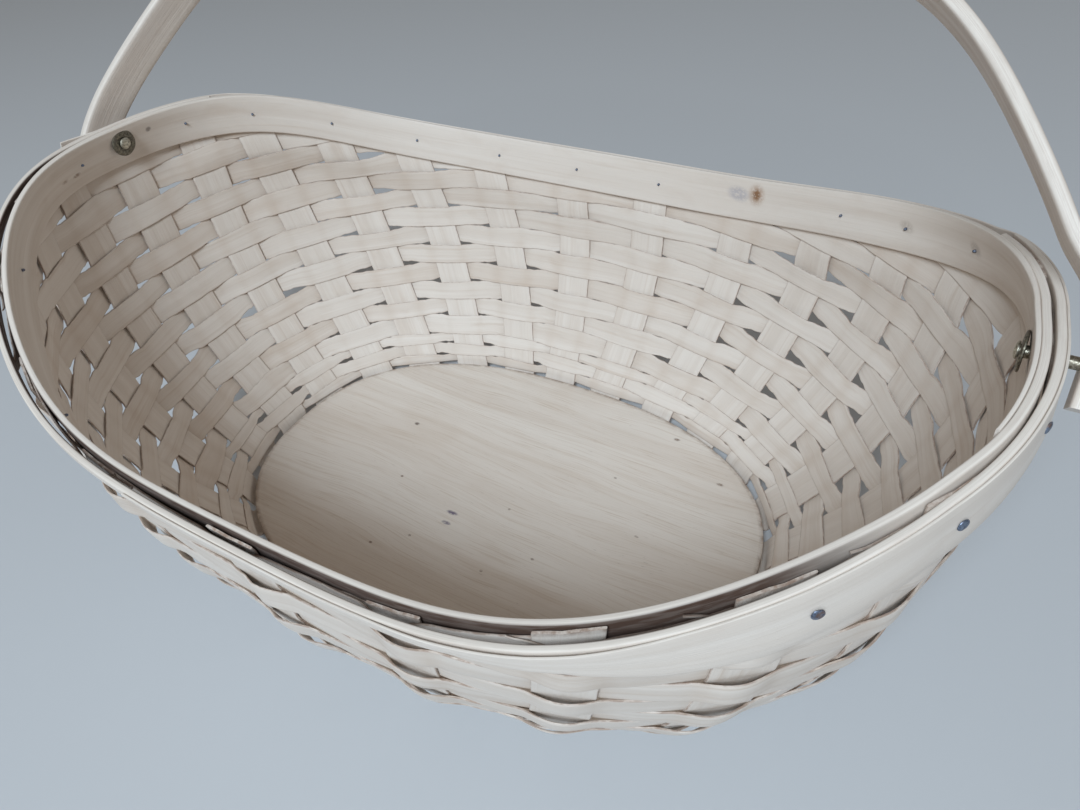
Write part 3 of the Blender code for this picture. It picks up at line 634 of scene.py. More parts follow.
# the brown knot on the far side's inner hoop, the grey smear beside it, and small stains
RIM_SPOTS = [
    (on_rim(71, 9), (3.6, 3.6, 4.6), (0.13, 0.06, 0.03), 0.95),
    (on_rim(71, 9), (7.5, 7.5, 8.5), (0.33, 0.17, 0.08), 0.6),
    (on_rim(74, 10), (11, 7, 6), (0.36, 0.34, 0.38), 0.6),
    (on_rim(42, 12), (7, 7, 4), (0.40, 0.33, 0.27), 0.5),
    (on_rim(25.5, 12), (7, 7, 4), (0.38, 0.31, 0.26), 0.55),
    (on_rim(177.2, 9), (2.6, 2.6, 2.2), (0.16, 0.13, 0.12), 0.75),
    (on_rim(190.5, 17), (3, 4, 1.6), (0.20, 0.11, 0.06), 0.7),
    (on_rim(193.5, 16), (3, 4, 1.3), (0.24, 0.13, 0.07), 0.6),
]
DUSK, UMBER = (0.13, 0.105, 0.17), (0.15, 0.08, 0.045)
PANEL_SPOTS = [
    ((-19.8, -31.6, 8), (5.4, 2.0, 3), DUSK, 0.9),
    ((-18.2, -40.4, 8), (4.4, 1.8, 3), DUSK, 0.8),
    ((-95.2, 28.0, 8), (2.8, 2.0, 3), (0.12, 0.08, 0.06), 0.85),
    ((80.9, 95.9, 8), (3.0, 1.6, 3), UMBER, 0.8),
    ((123.3, 69.1, 8), (3.2, 1.6, 3), UMBER, 0.7),
    ((-52, -76, 8), (1.6, 1.3, 3), UMBER, 0.8),
    ((-71, -20, 8), (1.5, 1.2, 3), UMBER, 0.8),
    ((-33, -60, 8), (1.4, 1.2, 3), UMBER, 0.7),
    ((24, -62, 8), (1.5, 1.1, 3), UMBER, 0.8),
    ((47, -40, 8), (1.6, 1.1, 3), UMBER, 0.7),
    ((12, -12, 8), (1.4, 1.1, 3), UMBER, 0.6),
    ((95, 5, 8), (2.0, 1.1, 3), UMBER, 0.6),
    ((60, 44, 8), (1.6, 1.0, 3), UMBER, 0.6),
]
splint_wood = wood("splint_wood", BASE, PALE, TAN, BROWN, fuzz=0.7)
weaver_wood = wood("weaver_wood", BASE, PALE, TAN, BROWN, fuzz=0.65)
CREAM = (0.80, 0.73, 0.655)
hoop_wood = wood("hoop_wood", BASE, PALE, TAN, BROWN, RIM_SPOTS, fibre=0.75, gloss=0.55, bump=0.8, fuzz=0.10, crest=CREAM)
band_wood = wood("band_wood", BASE, PALE, TAN, BROWN, fibre=0.8, gloss=0.55, fuzz=0.2, crest=CREAM)
handle_wood = wood("handle_wood", (0.66, 0.575, 0.505), PALE, TAN, BROWN, fibre=0.7, gloss=0.42, bump=1.2, fuzz=0.15, crest=CREAM)
panel_wood = plywood("panel_wood", (0.66, 0.575, 0.50), (0.75, 0.68, 0.61), (0.52, 0.40, 0.30), (0.20, 0.12, 0.075), PANEL_SPOTS)
bronze = metal("rivet_bronze", (0.60, 0.56, 0.46), (0.22, 0.19, 0.14), (0.14, 0.11, 0.08), 0.40)
bronze_dark = metal("burr_bronze", (0.27, 0.245, 0.19), (0.085, 0.075, 0.06), (0.10, 0.075, 0.055), 0.50)
steel = metal("nail_steel", (0.25, 0.30, 0.40), (0.07, 0.08, 0.11), (0.13, 0.07, 0.045), 0.42)


# --------------------------------------------------------------- the uprights
def side_of(k, row):
    """+1 where the weaver of this row passes outside upright k."""
    return 1 if (k - row) % 2 == 0 else -1


def splint_off(k, z):
    """The upright gives a little against each weaver it passes."""
    z = np.asarray(z, float)
    off = np.zeros_like(z)
    for row in range(1, len(LEVELS)):
        low, high = LEVELS[row - 1], LEVELS[row]
        inside = smooth((z - low + 1.6) / 3.2) * (1 - smooth((z - high + 1.6) / 3.2))
        off -= side_of(k, row) * 0.33 * inside
    return off


def splint_top(k):
    return float(rim_z(rise(SPLINT_ENDS[k], 180.0))) - 2.0


TOP_DROP = {8: 3.0, 9: 1.4, 10: 4.2, 11: 1.6, 12: 4.4, 13: 1.8, 14: 5.0, 15: 4.4, 16: 3.2}
TOP_JITTER = {k: float(rng.uniform(-0.9, 0.6)) for k in SPLINT_ENDS}
LEAN_JITTER = {k: float(rng.uniform(-0.5, 0.5)) for k in SPLINT_ENDS}


def upright_rows(k):
    """(n, m, 3) of one upright from its top down to the foot, m across."""
    top = splint_top(k) + TOP_JITTER[k]
    count = int((top - FOOT) / 2.4)
    z = np.linspace(top, FOOT, count)
    x = columns([-SPLINT_W / 2], [SPLINT_W / 2], 4, 1.0)[0]
    # the top is cut a little ragged, and follows the rim
    t_top = rise(SPLINT_ENDS[k], top)
    tops = rim_z(t_top + x / mm_per_rad(np.array([top]), np.array([t_top]))[0])
    tops = tops - TOP_DROP.get(k, 2.4) + TOP_JITTER[k] * 0.5
    tops = tops + np.interp(x, np.linspace(x[0], x[-1], 6), rng.uniform(-0.7, 0.7, 6))
    Z = FOOT + (z[:, None] - FOOT) / (top - FOOT) * (tops[None] - FOOT)
    t = rise(SPLINT_ENDS[k], Z)
    scale = mm_per_rad(Z, t)
    wobble = wander(z, 0.22, 60)[:, None]
    t = t + (x[None] + wobble) / scale
    off = splint_off(k, Z) + wall_shift(Z, t)
    twist = 0.12 * (x[None] / (SPLINT_W / 2)) * np.sin(Z / 31 + k)
    return wall(Z, t, off + twist), x


def fold_rows(k, height, out_by, x):
    t = math.radians(SPLINT_ENDS[k])
    p, out = oval(np.zeros(1), np.array([t]))
    p, out = p[0], out[0]
    along = np.array([-out[1], out[0], 0.0])
    centre = np.array([p[0] + out_by * out[0] - SHIFT[0], p[1] + out_by * out[1] - SHIFT[1], height])
    return centre, along


def make_splint(name, far, near, height):
    rows_far, x = upright_rows(far)
    rows_near, _ = upright_rows(near)
    c0, a0 = fold_rows(far, height, 2.2, x)
    c1, a1 = fold_rows(near, height, 2.2, x)
    run = (c1 - c0) / np.linalg.norm(c1 - c0)
    square = np.array([-run[1], run[0], 0.0])
    if np.dot(square, a0) < 0:
        square = -square
    length = np.linalg.norm(c1 - c0)
    bottom = [c0 + a0 * x[:, None] + np.array([0, 0, 0.35])]
    dist = np.array([5.0, 15.0, 30.0, 45.0, 60.0, length / 2, length - 60, length - 45, length - 30.0, length - 15, length - 5.0])
    for d in dist:
        near_end = min(d, length - d)
        mix = float(np.interp(near_end, [5, 30, 60], [0.15, 0.6, 1.0]))
        toward = a0 if d < length / 2 else -a1
        across = (1 - mix) * toward + mix * square
        across /= np.linalg.norm(across)
        bottom.append(c0 + run * d + across * x[:, None])
    bottom.append(c1 - a1 * x[:, None] + np.array([0, 0, 0.35]))
    P = np.concatenate([rows_far, np.array(bottom), rows_near[::-1, ::-1]])
    # round the folds: corners are cut twice
    a = len(rows_far)
    lo, hi = a - 2, a + len(bottom) + 2
    middle = P[lo:hi]
    for _ in range(2):
        cut = np.empty((2 * len(middle) - 2, *middle.shape[1:]))
        cut[0::2] = 0.75 * middle[:-1] + 0.25 * middle[1:]
        cut[1::2] = 0.25 * middle[:-1] + 0.75 * middle[1:]
        middle = np.concatenate([middle[:1], cut, middle[-1:]])
    P = np.concatenate([P[:lo], middle, P[hi:]])
    P[..., 2] = np.maximum(P[..., 2], SPLINT_T / 2 + 0.02)
    half = rounded(len(x), SPLINT_T, blunt=0.55)
    n = len(P)
    tint = np.interp(np.arange(n), [0, n * 0.3, n * 0.6, n], rng.uniform(0.35, 0.8, 4))
    strip(name, P, half, splint_wood, name, tint=tint, edge_reach=0.3)


LOW = SPLINT_T / 2
HIGH = SPLINT_T + 0.3 + SPLINT_T / 2
for i, (far, near) in enumerate(CROSSWISE, 1):
    make_splint(f"crosswise_splint_{i}", far, near, HIGH)
for i, (left, right) in enumerate(LENGTHWISE, 1):
    make_splint(f"lengthwise_splint_{i}", left, right, LOW)


# ---------------------------------------------------------------- the weavers
STEPS = 480
# openings for the uprights that can't be seen follow the same rule as the rest
for b in range(1, 13):
    for k in range(8, 17):
        for e in (-1, 1):
            if (b + k) % 2 and (b, k, e) not in GAPS and rng.random() < 0.7:
                GAPS[(b, k, e)] = (float(rng.uniform(1.5, 4.2)), float(rng.uniform(4, 12)))


def places(z, t):
    """For each angle: the nearest uprights' distances (mm) at height z. (n, 24)."""
    centre = np.array([float(rise(SPLINT_ENDS[k], z)) for k in ORDER])
    d = turned_in(t[:, None] - centre[None])
    return d * mm_per_rad(np.full_like(t, z), t)[:, None]


LINE_WAVES = rng.normal(size=(20, 5)) * np.array([0.20, 0.16, 0.14, 0.10, 0.08])
LINE_PHASE = rng.uniform(0, 6.283, (20, 5))


def line_shift(b, t):
    """A row line's own small ups and downs, the same for both rows that meet there."""
    if b == 0:
        return 0 * t
    out = 0 * t
    for i, n in enumerate((3, 7, 11, 17, 24)):
        out = out + LINE_WAVES[b, i] * np.sin(n * t + LINE_PHASE[b, i])
    return out


def opening(b, t):
    """How far the two rows at line b stand apart."""
    if b <= 0 or b >= len(LEVELS) - 1:
        return 0 * t
    x = places(LEVELS[b], t)
    total = 0 * t
    for (bb, k, e), (size, length) in GAPS.items():
        if bb != b:
            continue
        height = min(LEVELS[b] - LEVELS[b - 1], LEVELS[b + 1] - LEVELS[b])
        size = float(np.clip(1.25 * size, 0, 0.5 * height))
        if size <= 0:
            continue
        xe = e * x[:, ORDER.index(k)] - SPLINT_W / 2
        total += size * np.where(xe >= 0, np.clip(1 - xe / (length + 1.0), 0, 1), np.clip(1 + xe / SPLINT_W, 0, 1)) * (np.abs(xe) < 60)
    return total


def weave(row, t):
    """How far out a row runs at each angle, and how much it bulges there."""
    z = 0.5 * (LEVELS[row - 1] + LEVELS[row])
    x = places(z, t)
    sides = np.array([side_of(k, row) for k in ORDER], float)
    index = np.argsort(np.abs(x), axis=1)[:, :1]
    near = np.take_along_axis(x, index, 1)[:, 0]
    k_near = index[:, 0]
    # the neighbour on the other side of this angle
    step = np.where(near >= 0, 1, -1)
    k_next = (k_near + step) % len(ORDER)
    x_next = x[np.arange(len(t)), k_next]
    gap = np.abs(near - x_next) - SPLINT_W
    into = np.clip((np.abs(near) - SPLINT_W / 2) / np.maximum(gap, 1.0), 0, 1)
    s = sides[k_near] + (sides[k_next] - sides[k_near]) * smooth(into)
    crown = np.clip(1 - (near / (SPLINT_W / 2 + 5)) ** 2, 0, 1) ** 2
    return s, crown * sides[k_near]


def packed(b, t):
    """The rows are packed down tight: each edge reaches past the line where the next row is on the other side."""
    if b <= 0 or b >= len(LEVELS) - 1:
        return 0 * t - 0.1
    s, _ = weave(b + 1, t)
    apart = np.clip((np.abs(s) - 0.45) / 0.4, 0, 1)
    return -0.03 + np.where(s > 0, 0.85, 0.35) * smooth(apart)


def near_side(t):
    d = np.degrees(t) % 360
    return smooth((d - 186) / 12) * (1 - smooth((d - 318) / 16))


def uncovered(t):
    """1 on the near left, where the hoop outside the weave shows only its top edge."""
    d = np.degrees(t) % 360
    return smooth((d - 190) / 14) * (1 - smooth((d - 298) / 20))


def row_edges(row, t):
    """Lower and upper edge of a row at each angle."""
    low = LEVELS[row - 1] + line_shift(row - 1, t) - packed(row - 1, t) + 0.5 * opening(row - 1, t)
    high = LEVELS[row] + line_shift(row, t) + packed(row, t) - 0.5 * opening(row, t)
    high = np.minimum(high, rim_z(t) - 2.6 - 4.6 * near_side(t) * (1 - 0.6 * uncovered(t)))
    return low, high


def make_weaver(name, row, span=None):
    if span is None:
        t = np.linspace(0, 2 * np.pi, STEPS, endpoint=False)
        closed = True
    else:
        t = np.radians(np.linspace(span[0], span[1], int((span[1] - span[0]) * STEPS / 360) + 2))
        closed = False
    low, high = row_edges(row, t)
    high = np.maximum(high, low + 0.6)
    Z = columns(low, high, 3, 0.9)
    T = np.repeat(t[:, None], Z.shape[1], 1)
    s, crown = weave(row, t)
    under_hoop = smooth((Z - rim_z(T) + 42) / 16) * (1 - uncovered(T))
    place = np.linspace(-1, 1, Z.shape[1])[None]
    bulge = np.where(crown > 0, BULGE_OUT, BULGE_IN)
    # narrow rows at the foot are stiffer
    bulge = bulge * (0.55 if row <= 3 else 1.0)
    # and the near side's weavers stand out furthest
    bulge = bulge * (1 + 0.65 * near_side(t) * (crown > 0))
    belly = crown[:, None] * bulge[:, None] * (1 - 0.92 * under_hoop) * (1 - 0.10 * place**2)
    base = 0.80 * s[:, None] * (1 - 0.06 * under_hoop)
    length = t * 200.0
    loose = wander(length, 0.16, 90, closed)[:, None] * (1 - under_hoop)
    tilt = wander(length, 0.22, 120, closed)[:, None] * place * (1 - under_hoop)
    P = wall(Z, T, base + belly + loose + tilt + wall_shift(Z, T))
    half = rounded(Z.shape[1], WEAVER_T, blunt=0.6)
    strips = rng.uniform(0.3, 0.75, 5)
    tint = np.interp(np.linspace(0, 1, len(t)), np.linspace(0, 1, 6), np.concatenate([strips, strips[:1]]))
    # painted shade: it is darker where it dips behind an upright
    beside = np.abs(places(0.5 * (LEVELS[row - 1] + LEVELS[row]), t)).min(1) - SPLINT_W / 2
    tint = np.clip(tint - 0.22 * np.exp(-((beside / 4.5) ** 2)), 0, 1)
    # painted shade: what shows between the hoops on the near side is darkened
    weaver_gap_shade = 0.8 * near_side(T) * smooth((Z - rim_z(T) + 20) / 6)
    strip(name, P, half, weaver_wood, name, closed=closed, tint=tint, gap_shade=(weaver_gap_shade * (1 - uncovered(T)), weaver_gap_shade), edge_reach=0.28)


BULGE_OUT, BULGE_IN = 2.2, 0.75
for row in range(1, 4):
    make_weaver(f"base_weaver_{row}", row)
for row in range(4, 14):
    make_weaver(f"wall_weaver_{row - 3}", row)


def end_span(row, middle):
    """The angles between which this row's lower edge is still under the rim's top."""
    low = LEVELS[row - 1]
    edges = []
    for step in (-1, 1):
        a = middle
        while float(rim_z(np.radians(a))) - 3.6 > low and abs(a - middle) < 80:
            a += step * 0.5
        edges.append(a)
    return tuple(edges)


for i in range(4):
    make_weaver(f"end_weaver_left_{i + 1}", 14 + i, end_span(14 + i, 180.0))
    make_weaver(f"end_weaver_right_{i + 1}", 14 + i, end_span(14 + i, 0.0))


# ------------------------------------------------------------------ the hoops
def hoop(name, node, degrees, centre, thick, tall, drop, material, reach=1.0, tint=None, gap_shade=None, blunt=0.45):
    """A band that follows the rim. centre and thick are arrays along it: middle offset and thickness."""
    t = np.radians(degrees)
    z = rim_z(t) - drop
    Z = columns(z - tall, z, 4, reach)
    m = Z.shape[1]
    T = np.repeat(t[:, None], m, 1)
    P = wall(Z, T, np.repeat(np.asarray(centre)[:, None], m, 1))
    half = rounded(m, 1.0, blunt=blunt)[None] * np.asarray(thick)[:, None]
    n = len(t)
    return strip(
        name, P, half, material, node,
        tint=np.full(n, 0.5) if tint is None else tint,
        gap_shade=np.zeros((n, 1)) if gap_shade is None else gap_shade, edge_reach=0.35,
    )


# the inner hoop is one strip: from its tapered end at the right, round the far
# side, the left end and the near side, and outside its own start to a blunt end
deg = np.arange(-377.0, 20.01, 0.5)
lower_thick = np.interp(deg, [-377, -350, -330, 20], [1.4, 2.7, HOOP_T, HOOP_T])
thick = np.interp(deg, [-377, -350, -330, 5, 20], [1.4, 2.7, HOOP_T, HOOP_T, 2.9])
under = np.interp(deg - 360, [-377, -350, -330], [1.4, 2.7, HOOP_T]) + 0.15
lifted = smooth((deg + 24) / 9) * under
inner_tint = np.interp(deg, [-377, -300, -240, -160, -90, -20, 20], [0.5, 0.66, 0.7, 0.45, 0.8, 0.7, 0.6])
knot = np.exp(-(((deg + 360 - 71) / 0.9) ** 2)) + 0.35 * np.exp(-(((deg + 360 - 73.5) / 2.2) ** 2))


def hoop_gap_shade(degrees, upto=2):
    """Painted shade: dark between the hoops on the near side, but for the top edge."""
    face = np.ones(12)
    face[-upto:] = np.linspace(0.5, 0.0, upto)
    return near_side(np.radians(degrees))[:, None] * face[None]


none = np.zeros((len(deg), 1))
# painted shade on the face toward the gap between the hoops
hoop("inner_rim_hoop", "inner_rim_hoop", deg, INNER + lifted + thick / 2, thick, HOOP_H, 0.0,
     hoop_wood, tint=inner_tint, gap_shade=(hoop_gap_shade(deg), none))


def profile_d(degrees, table):
    start = table[0][0]
    return np.interp(degrees, [a for a, _ in table], [b for _, b in table])


OUTER_D = [(164, 9.5), (180, 9.5), (200, 10), (240, 10.3), (262, 10.5), (280, 11.9), (300, 12.9), (315, 11.8),
           (322, 11.4), (335, 9.0), (347, 9.2), (355, 10.0), (365, 10.9), (380, 10.5)]
deg = np.arange(164.0, 380.01, 0.5)
thick = np.interp(deg, [164, 366, 380], [HOOP_T, HOOP_T, 1.6])
outer_face = INNER + profile_d(deg, OUTER_D)
covered = np.interp(deg, [186, 204, 294, 303, 311, 319], [1.0, 0.2, 0.2, 0.42, 0.78, 1.0])
# painted shade on the face toward the gap between the hoops
hoop("outer_rim_hoop", "outer_rim_hoop", deg, outer_face - thick / 2, thick, HOOP_H * covered, 0.4,
     hoop_wood, tint=np.interp(deg, [164, 200, 250, 300, 380], [0.35, 0.4, 0.6, 0.75, 0.6]),
     gap_shade=(np.zeros((len(deg), 1)), hoop_gap_shade(deg)))

BAND_GAP = [(237, 0.2), (285, 0.3), (291, 1.3), (304, 1.3), (312, 0.15), (360, 0.12), (380, 0.2)]
deg = np.arange(BAND_START, 548.01, 0.5)
turn = np.where(deg > 384, deg - 360, deg)
face = INNER + profile_d(np.clip(deg, 164, 380), OUTER_D) + profile_d(np.clip(deg, 237, 380), BAND_GAP)
# beyond the outer hoop's end it steps in against the uprights, and out again over its far end
bare = INNER + np.interp(deg - 360, [20, 28, 40, 150, 160], [8.6, 8.2, 7.0, 7.0, 8.0])
far = deg - 360
face = np.where(far > 20, bare + (face[np.searchsorted(deg, 380.0)] - bare) * (1 - smooth((far - 20) / 7)), face)
over = INNER + profile_d(np.clip(far, 164, 200), OUTER_D) + 0.25
face = np.where(far > 150, bare + (over - bare) * smooth((far - 156) / 8), face)
free = 7.5 * smooth((far - 182.6) / 6.5)
centre = face + 0.5 + free
drop = np.interp(far, [15, 25, 150, 160], [0.6, 1.6, 1.6, 0.6])
tall = HOOP_H * np.interp(deg, [BAND_START, BAND_START + 8, 294, 303, 311, 319, 547, 548], [0.08, 0.17, 0.17, 0.40, 0.78, 1.0, 1.0, 0.86])
hoop("outer_binding_band", "outer_binding_band", deg, centre, np.full(len(deg), 1.0), tall, drop,
     band_wood, reach=0.6, tint=np.interp(deg, [237, 300, 380, 548], [0.7, 0.85, 0.6, 0.45]))

# ------------------------------------------------------------ the floor panel
A_RIM = 240
angle = 2 * np.pi * np.arange(A_RIM) / A_RIM
c, w = np.cos(angle), np.sin(angle)
out_x = A0 * np.sign(c) * np.abs(c) ** (2 / N0)
out_y = B0 * np.sign(w) * np.abs(w) ** (2 / N0)
rings = []
for inset, z in (
    (0.0, 3.5), (0.0, 7.35), (0.12, 7.7), (0.45, 7.93), (1.0, 8.0), (3.0, 8.0), (9.0, 8.0), (25.0, 8.0), (60.0, 8.0),
):
    s = 1 - inset / 121.0
    sx, sy = 1 - inset / 175.0, 1 - inset / 120.6
    rings.append(np.stack([out_x * sx - SHIFT[0], out_y * sy - SHIFT[1], np.full(A_RIM, z)], -1))
under = [(0.4, 3.05), (1.2, 3.0), (20.0, 3.0)]
low_rings = [
    np.stack([out_x * (1 - i / 175.0) - SHIFT[0], out_y * (1 - i / 120.6) - SHIFT[1], np.full(A_RIM, z)], -1)
    for i, z in under
]
all_rings = low_rings[::-1] + rings
points = np.concatenate(all_rings + [np.array([[-SHIFT[0], -SHIFT[1], 3.0], [-SHIFT[0], -SHIFT[1], 8.0]])])
faces = []
total = len(all_rings)
for r in range(total - 1):
    for i in range(A_RIM):
        j = (i + 1) % A_RIM
        faces.append((r * A_RIM + i, r * A_RIM + j, (r + 1) * A_RIM + j, (r + 1) * A_RIM + i))
for i in range(A_RIM):
    j = (i + 1) % A_RIM
    faces.append((total * A_RIM, j, i))
    faces.append((total * A_RIM + 1, (total - 1) * A_RIM + i, (total - 1) * A_RIM + j))
uvs = []
for face_ids in faces:
    for v in face_ids:
        p = points[v]
        side = -40.0 if p[2] < 7.5 else 0.0
        uvs.append((p[0] + 900, p[1] + 1500 + side + 3 * p[2]))
edge = np.zeros(len(points))
for r in range(total):
    inset = abs(all_rings[r][0, 0] - (out_x[0] - SHIFT[0]))
    edge[r * A_RIM:(r + 1) * A_RIM] = math.exp(-(inset / 2.0) ** 2)
panel = mesh_piece("floor_panel_ply", points, faces, uvs, {"edge": edge}, panel_wood, ["floor_panel"])

# ----------------------------------------------------------------- the handle
PIVOT = np.array([0.0, -6.5 - 3.36, 205.8 + 8.0])
HALF, RISE, TAIL = 280.9, 162.2, 16.0
BEND, SKEW = (-16.6, -82.2, 195.2), -0.05
LEAN = math.radians(90 - 39.6)


def bow(steps=200):
    line = [(HALF, d) for d in np.linspace(-TAIL, -2.0, 8)]
    for f in np.linspace(0, np.pi, steps + 1):
        cc, ww = math.cos(f), math.sin(f)
        height = RISE * ww
        across = cc * (HALF + sum(b * ww ** (k + 1) for k, b in enumerate(BEND))) + SKEW * height
        if cc > 0:
            across += (HALF - across) * (1 - float(smooth((height - 8) / 36)))
        line.append((across, height))
    line += [(-HALF, d) for d in np.linspace(-2.0, -TAIL, 8)]
    return np.array(line)


line = bow()
# even steps along it, and no step shorter than a millimetre
run = np.concatenate([[0], np.cumsum(np.linalg.norm(np.diff(line, axis=0), axis=1))])
even = np.linspace(0, run[-1], 300)
line = np.stack([np.interp(even, run, line[:, 0]), np.interp(even, run, line[:, 1])], -1)
for _ in range(2):
    line[1:-1] = 0.25 * line[:-2] + 0.5 * line[1:-1] + 0.25 * line[2:]
x = columns([-11.5], [11.5], 5, 1.8)[0]
a, b = line[:, 0][:, None], line[:, 1][:, None]
narrow = 1 - 0.0 * np.abs(a)
W = x[None] * narrow
P = np.stack([
    PIVOT[0] + a + 0 * W,
    PIVOT[1] + b * math.cos(LEAN) - W * math.sin(LEAN),
    PIVOT[2] + b * math.sin(LEAN) + W * math.cos(LEAN),
], -1)
half = rounded(len(x), 5.6, blunt=0.35)
handle = strip("bent_handle", P, half, handle_wood, "handle", body="handle",
               tint=np.interp(np.arange(len(line)), [0, 60, 150, 240, 300], [0.6, 0.5, 0.55, 0.5, 0.55]), edge_reach=0.5)


def drill(piece, at, way, radius, reach):
    """A round hole, cut for good."""
    segments = 40
    way = np.array(way, float)
    other = np.array([0.0, 1.0, 0.0])
    third = np.cross(way, other)
    pts, fcs = [], []
    for d in (-reach, reach):
        for i in range(segments):
            f = 2 * np.pi * i / segments
            pts.append((np.array(at) + way * d + radius * (math.cos(f) * other + math.sin(f) * third)) * MM)
    fcs.append(tuple(range(segments)))
    fcs.append(tuple(range(2 * segments - 1, segments - 1, -1)))
    for i in range(segments):
        j = (i + 1) % segments
        fcs.append((i, i + segments, j + segments, j))
    mesh = bpy.data.meshes.new("hole")
    mesh.from_pydata([tuple(p) for p in pts], [], fcs)
    mesh.update()
    cutter = bpy.data.objects.new("hole", mesh)
    bpy.context.scene.collection.objects.link(cutter)
    volume = 0.0
    for poly in mesh.polygons:
        volume += poly.center.dot(poly.normal) * poly.area
    if volume < 0:
        mesh.flip_normals()
    hole = piece.modifiers.new("hole", "BOOLEAN")
    hole.operation, hole.solver, hole.object = "DIFFERENCE", "EXACT", cutter
    graph = bpy.context.evaluated_depsgraph_get()
    cut = bpy.data.meshes.new_from_object(piece.evaluated_get(graph), preserve_all_data_layers=True, depsgraph=graph)
    piece.modifiers.clear()
    piece.data = cut
    bpy.data.objects.remove(cutter, do_unlink=True)


for sign in (-1, 1):
    drill(handle, (sign * HALF, PIVOT[1], PIVOT[2]), (1, 0, 0), 2.56, 12)

# ------------------------------------------------------------- the fastenings
for side, sign in (("left", -1), ("right", 1)):
    t0 = math.pi if sign < 0 else 0.0
    stand = 1.4 if sign < 0 else 0.6
    inner = wall(205.8, t0, -5.0 - HOOP_T / 2 - stand)[0]
    outer_x = sign * (HALF + 2.8)
    length = abs(outer_x - inner) + 1.5
    lathe(f"rivet_{side}", [
        (0, -2.7), (2.0, -2.62), (3.8, -2.3), (5.2, -1.7), (6.1, -1.0), (6.5, -0.45), (6.5, -0.3), (2.5, -0.3),
        (2.5, length + 0.2), (3.4, length + 0.35), (3.5, length + 0.9), (2.9, length + 1.5), (1.8, length + 1.85), (0, length + 1.95),
    ], (outer_x, PIVOT[1], PIVOT[2]), (-sign, 0, 0), bronze, f"handle_rivet_{side}", 36, 0.05,
        worn=[1, 1, 0.6, 0.3, 0, 0, 0, 0, 0, 0.5, 1, 1, 1, 1])
    lathe(f"burr_{side}", [
        (2.65, length - 1.55), (7.6, length - 1.6), (8.0, length - 1.3), (8.0, length - 0.8), (7.5, length - 0.35),
        (6.0, length - 0.05), (4.6, length - 0.12), (2.9, length - 0.3), (2.65, length - 0.5), (2.65, length - 1.55),
    ], (outer_x, PIVOT[1], PIVOT[2]), (-sign, 0, 0), bronze_dark, f"rivet_burr_{side}", 40, 0.02,
        worn=[0, 0, 0.3, 0.8, 0.6, 0.2, 0, 0, 0, 0])

NUDGE = {322: 1.0, 335: 1.6, 347.5: 1.6}
for i, angle_deg in enumerate(NAIL_ANGLES, 1):
    t0 = math.radians(angle_deg + NUDGE.get(angle_deg, 0.0))
    z = float(rim_z(t0)) - HOOP_H / 2
    d = angle_deg if angle_deg >= BAND_START else angle_deg + 360
    if d <= 548:
        index = int(np.argmin(np.abs(deg - d)))
        off = centre[index] + 0.5
    else:
        off = INNER + float(profile_d(angle_deg, OUTER_D))
    off = off - 9.0 * float(uncovered(np.array([t0]))[0])  # hidden behind the weave there
    at = wall(z, t0, off)
    way = oval(np.array([z]), np.array([t0]))[1][0]
    depth = off - INNER + 0.9
    lathe(f"nail_{i:02d}", [
        (0, -1.15), (0.9, -1.12), (1.75, -0.98), (2.25, -0.75), (2.35, -0.5), (2.15, -0.3), (0.8, -0.25), (0.8, depth - 0.6),
        (0.75, depth + 0.1), (0.45, depth + 0.5), (0, depth + 0.75),
    ], at, (-way[0], -way[1], 0.0), steel, f"rim_nail_{i:02d}", 20, 0.04,
        worn=[0.6, 0.6, 0.8, 1, 0.6, 0, 0, 0, 0.5, 1, 1])

# ------------------------------------------------------------ floor and light
size = 6.0
floor_mesh = bpy.data.meshes.new("ground")
floor_mesh.from_pydata([(-size, -size, 0), (size, -size, 0), (size, size, 0), (-size, size, 0)], [], [(0, 1, 2, 3)])
ground = bpy.data.objects.new("ground", floor_mesh)
bpy.context.scene.collection.objects.link(ground)
g = Nodes("ground")
g.shader.inputs["Base Color"].default_value = (0.56, 0.575, 0.595, 1)
g.shader.inputs["Roughness"].default_value = 0.9
floor_mesh.materials.append(g.mat)

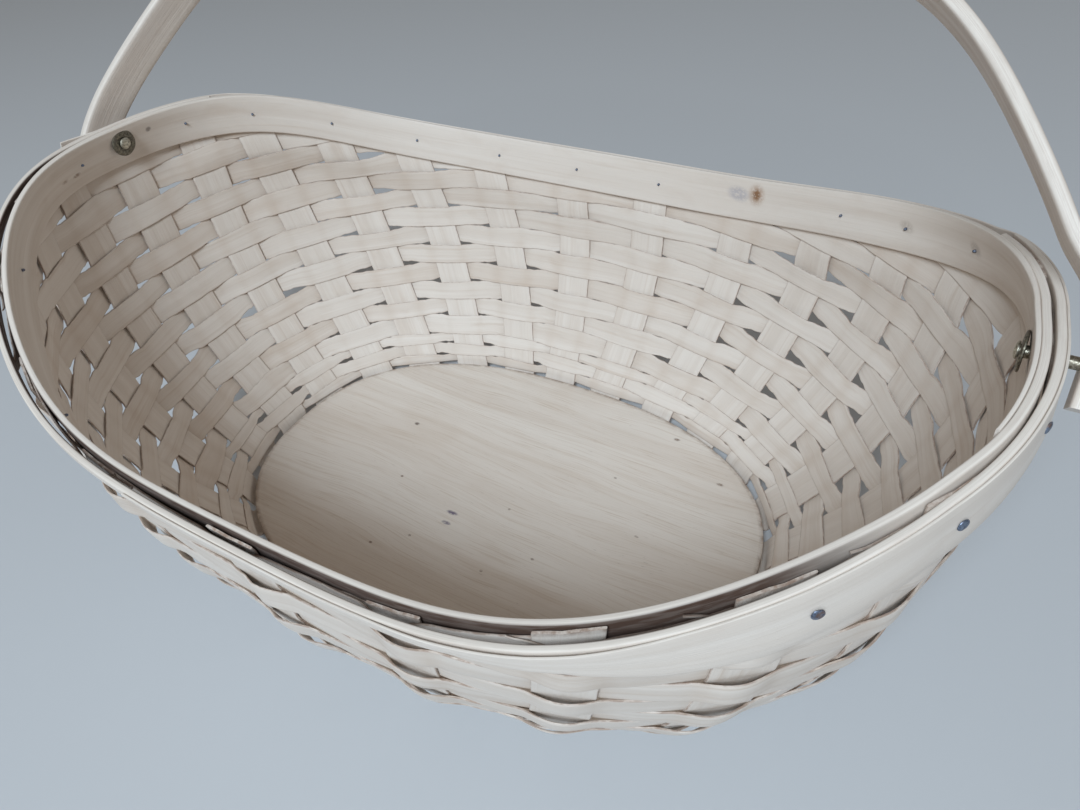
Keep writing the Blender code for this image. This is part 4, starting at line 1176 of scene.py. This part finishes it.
world = bpy.data.worlds.new("sky")
world.use_nodes = True
world.node_tree.nodes["Background"].inputs[0].default_value = (1.0, 0.93, 0.85, 1)
world.node_tree.nodes["Background"].inputs[1].default_value = SKY
bpy.context.scene.world = world


def area(name, azimuth, elevation, distance, size, power, colour):
    lamp = bpy.data.lights.new(name, "AREA")
    lamp.shape = "DISK"
    lamp.size = size
    lamp.energy = power
    lamp.color = colour
    made = bpy.data.objects.new(name, lamp)
    az, el = math.radians(azimuth), math.radians(elevation)
    back = np.array([math.sin(az) * math.cos(el), -math.cos(az) * math.cos(el), math.sin(el)])
    made.location = tuple(back * distance + np.array([0, 0, 0.1]))
    rotation = Matrix.Identity(3)
    direction = made.location.normalized()
    made.rotation_mode = "QUATERNION"
    made.rotation_quaternion = direction.to_track_quat("Z", "Y")
    bpy.context.scene.collection.objects.link(made)
    return made


area("key", KEY[0], KEY[1], 3.0, KEY[2], KEY[3], (0.755, 0.885, 1.0))
area("fill", 150, 25, 3.2, 2.0, FILL, (0.80, 0.90, 1.0))

# ----------------------------------------------------------------- the camera
az, el, roll = math.radians(35.52), math.radians(40.21), math.radians(-6.25)
back = np.array([math.sin(az) * math.cos(el), -math.cos(az) * math.cos(el), math.sin(el)])
right = np.cross(-back, (0, 0, 1))
right /= np.linalg.norm(right)
up = np.cross(right, -back)
r2 = math.cos(roll) * right + math.sin(roll) * up
u2 = -math.sin(roll) * right + math.cos(roll) * up
lens = bpy.data.cameras.new("camera")
lens.lens, lens.sensor_width, lens.sensor_fit = 28.06, 36.0, "HORIZONTAL"
lens.clip_start, lens.clip_end = 0.01, 50.0
camera = bpy.data.objects.new("camera", lens)
bpy.context.scene.collection.objects.link(camera)
where = np.array([251.78, -301.20, 409.95]) * MM
camera.matrix_world = Matrix([
    [r2[0], u2[0], back[0], where[0]],
    [r2[1], u2[1], back[1], where[1]],
    [r2[2], u2[2], back[2], where[2]],
    [0, 0, 0, 1],
])
bpy.context.scene.camera = camera
bpy.context.scene.view_settings.view_transform = "Standard"
bpy.context.scene.view_settings.look = "None"

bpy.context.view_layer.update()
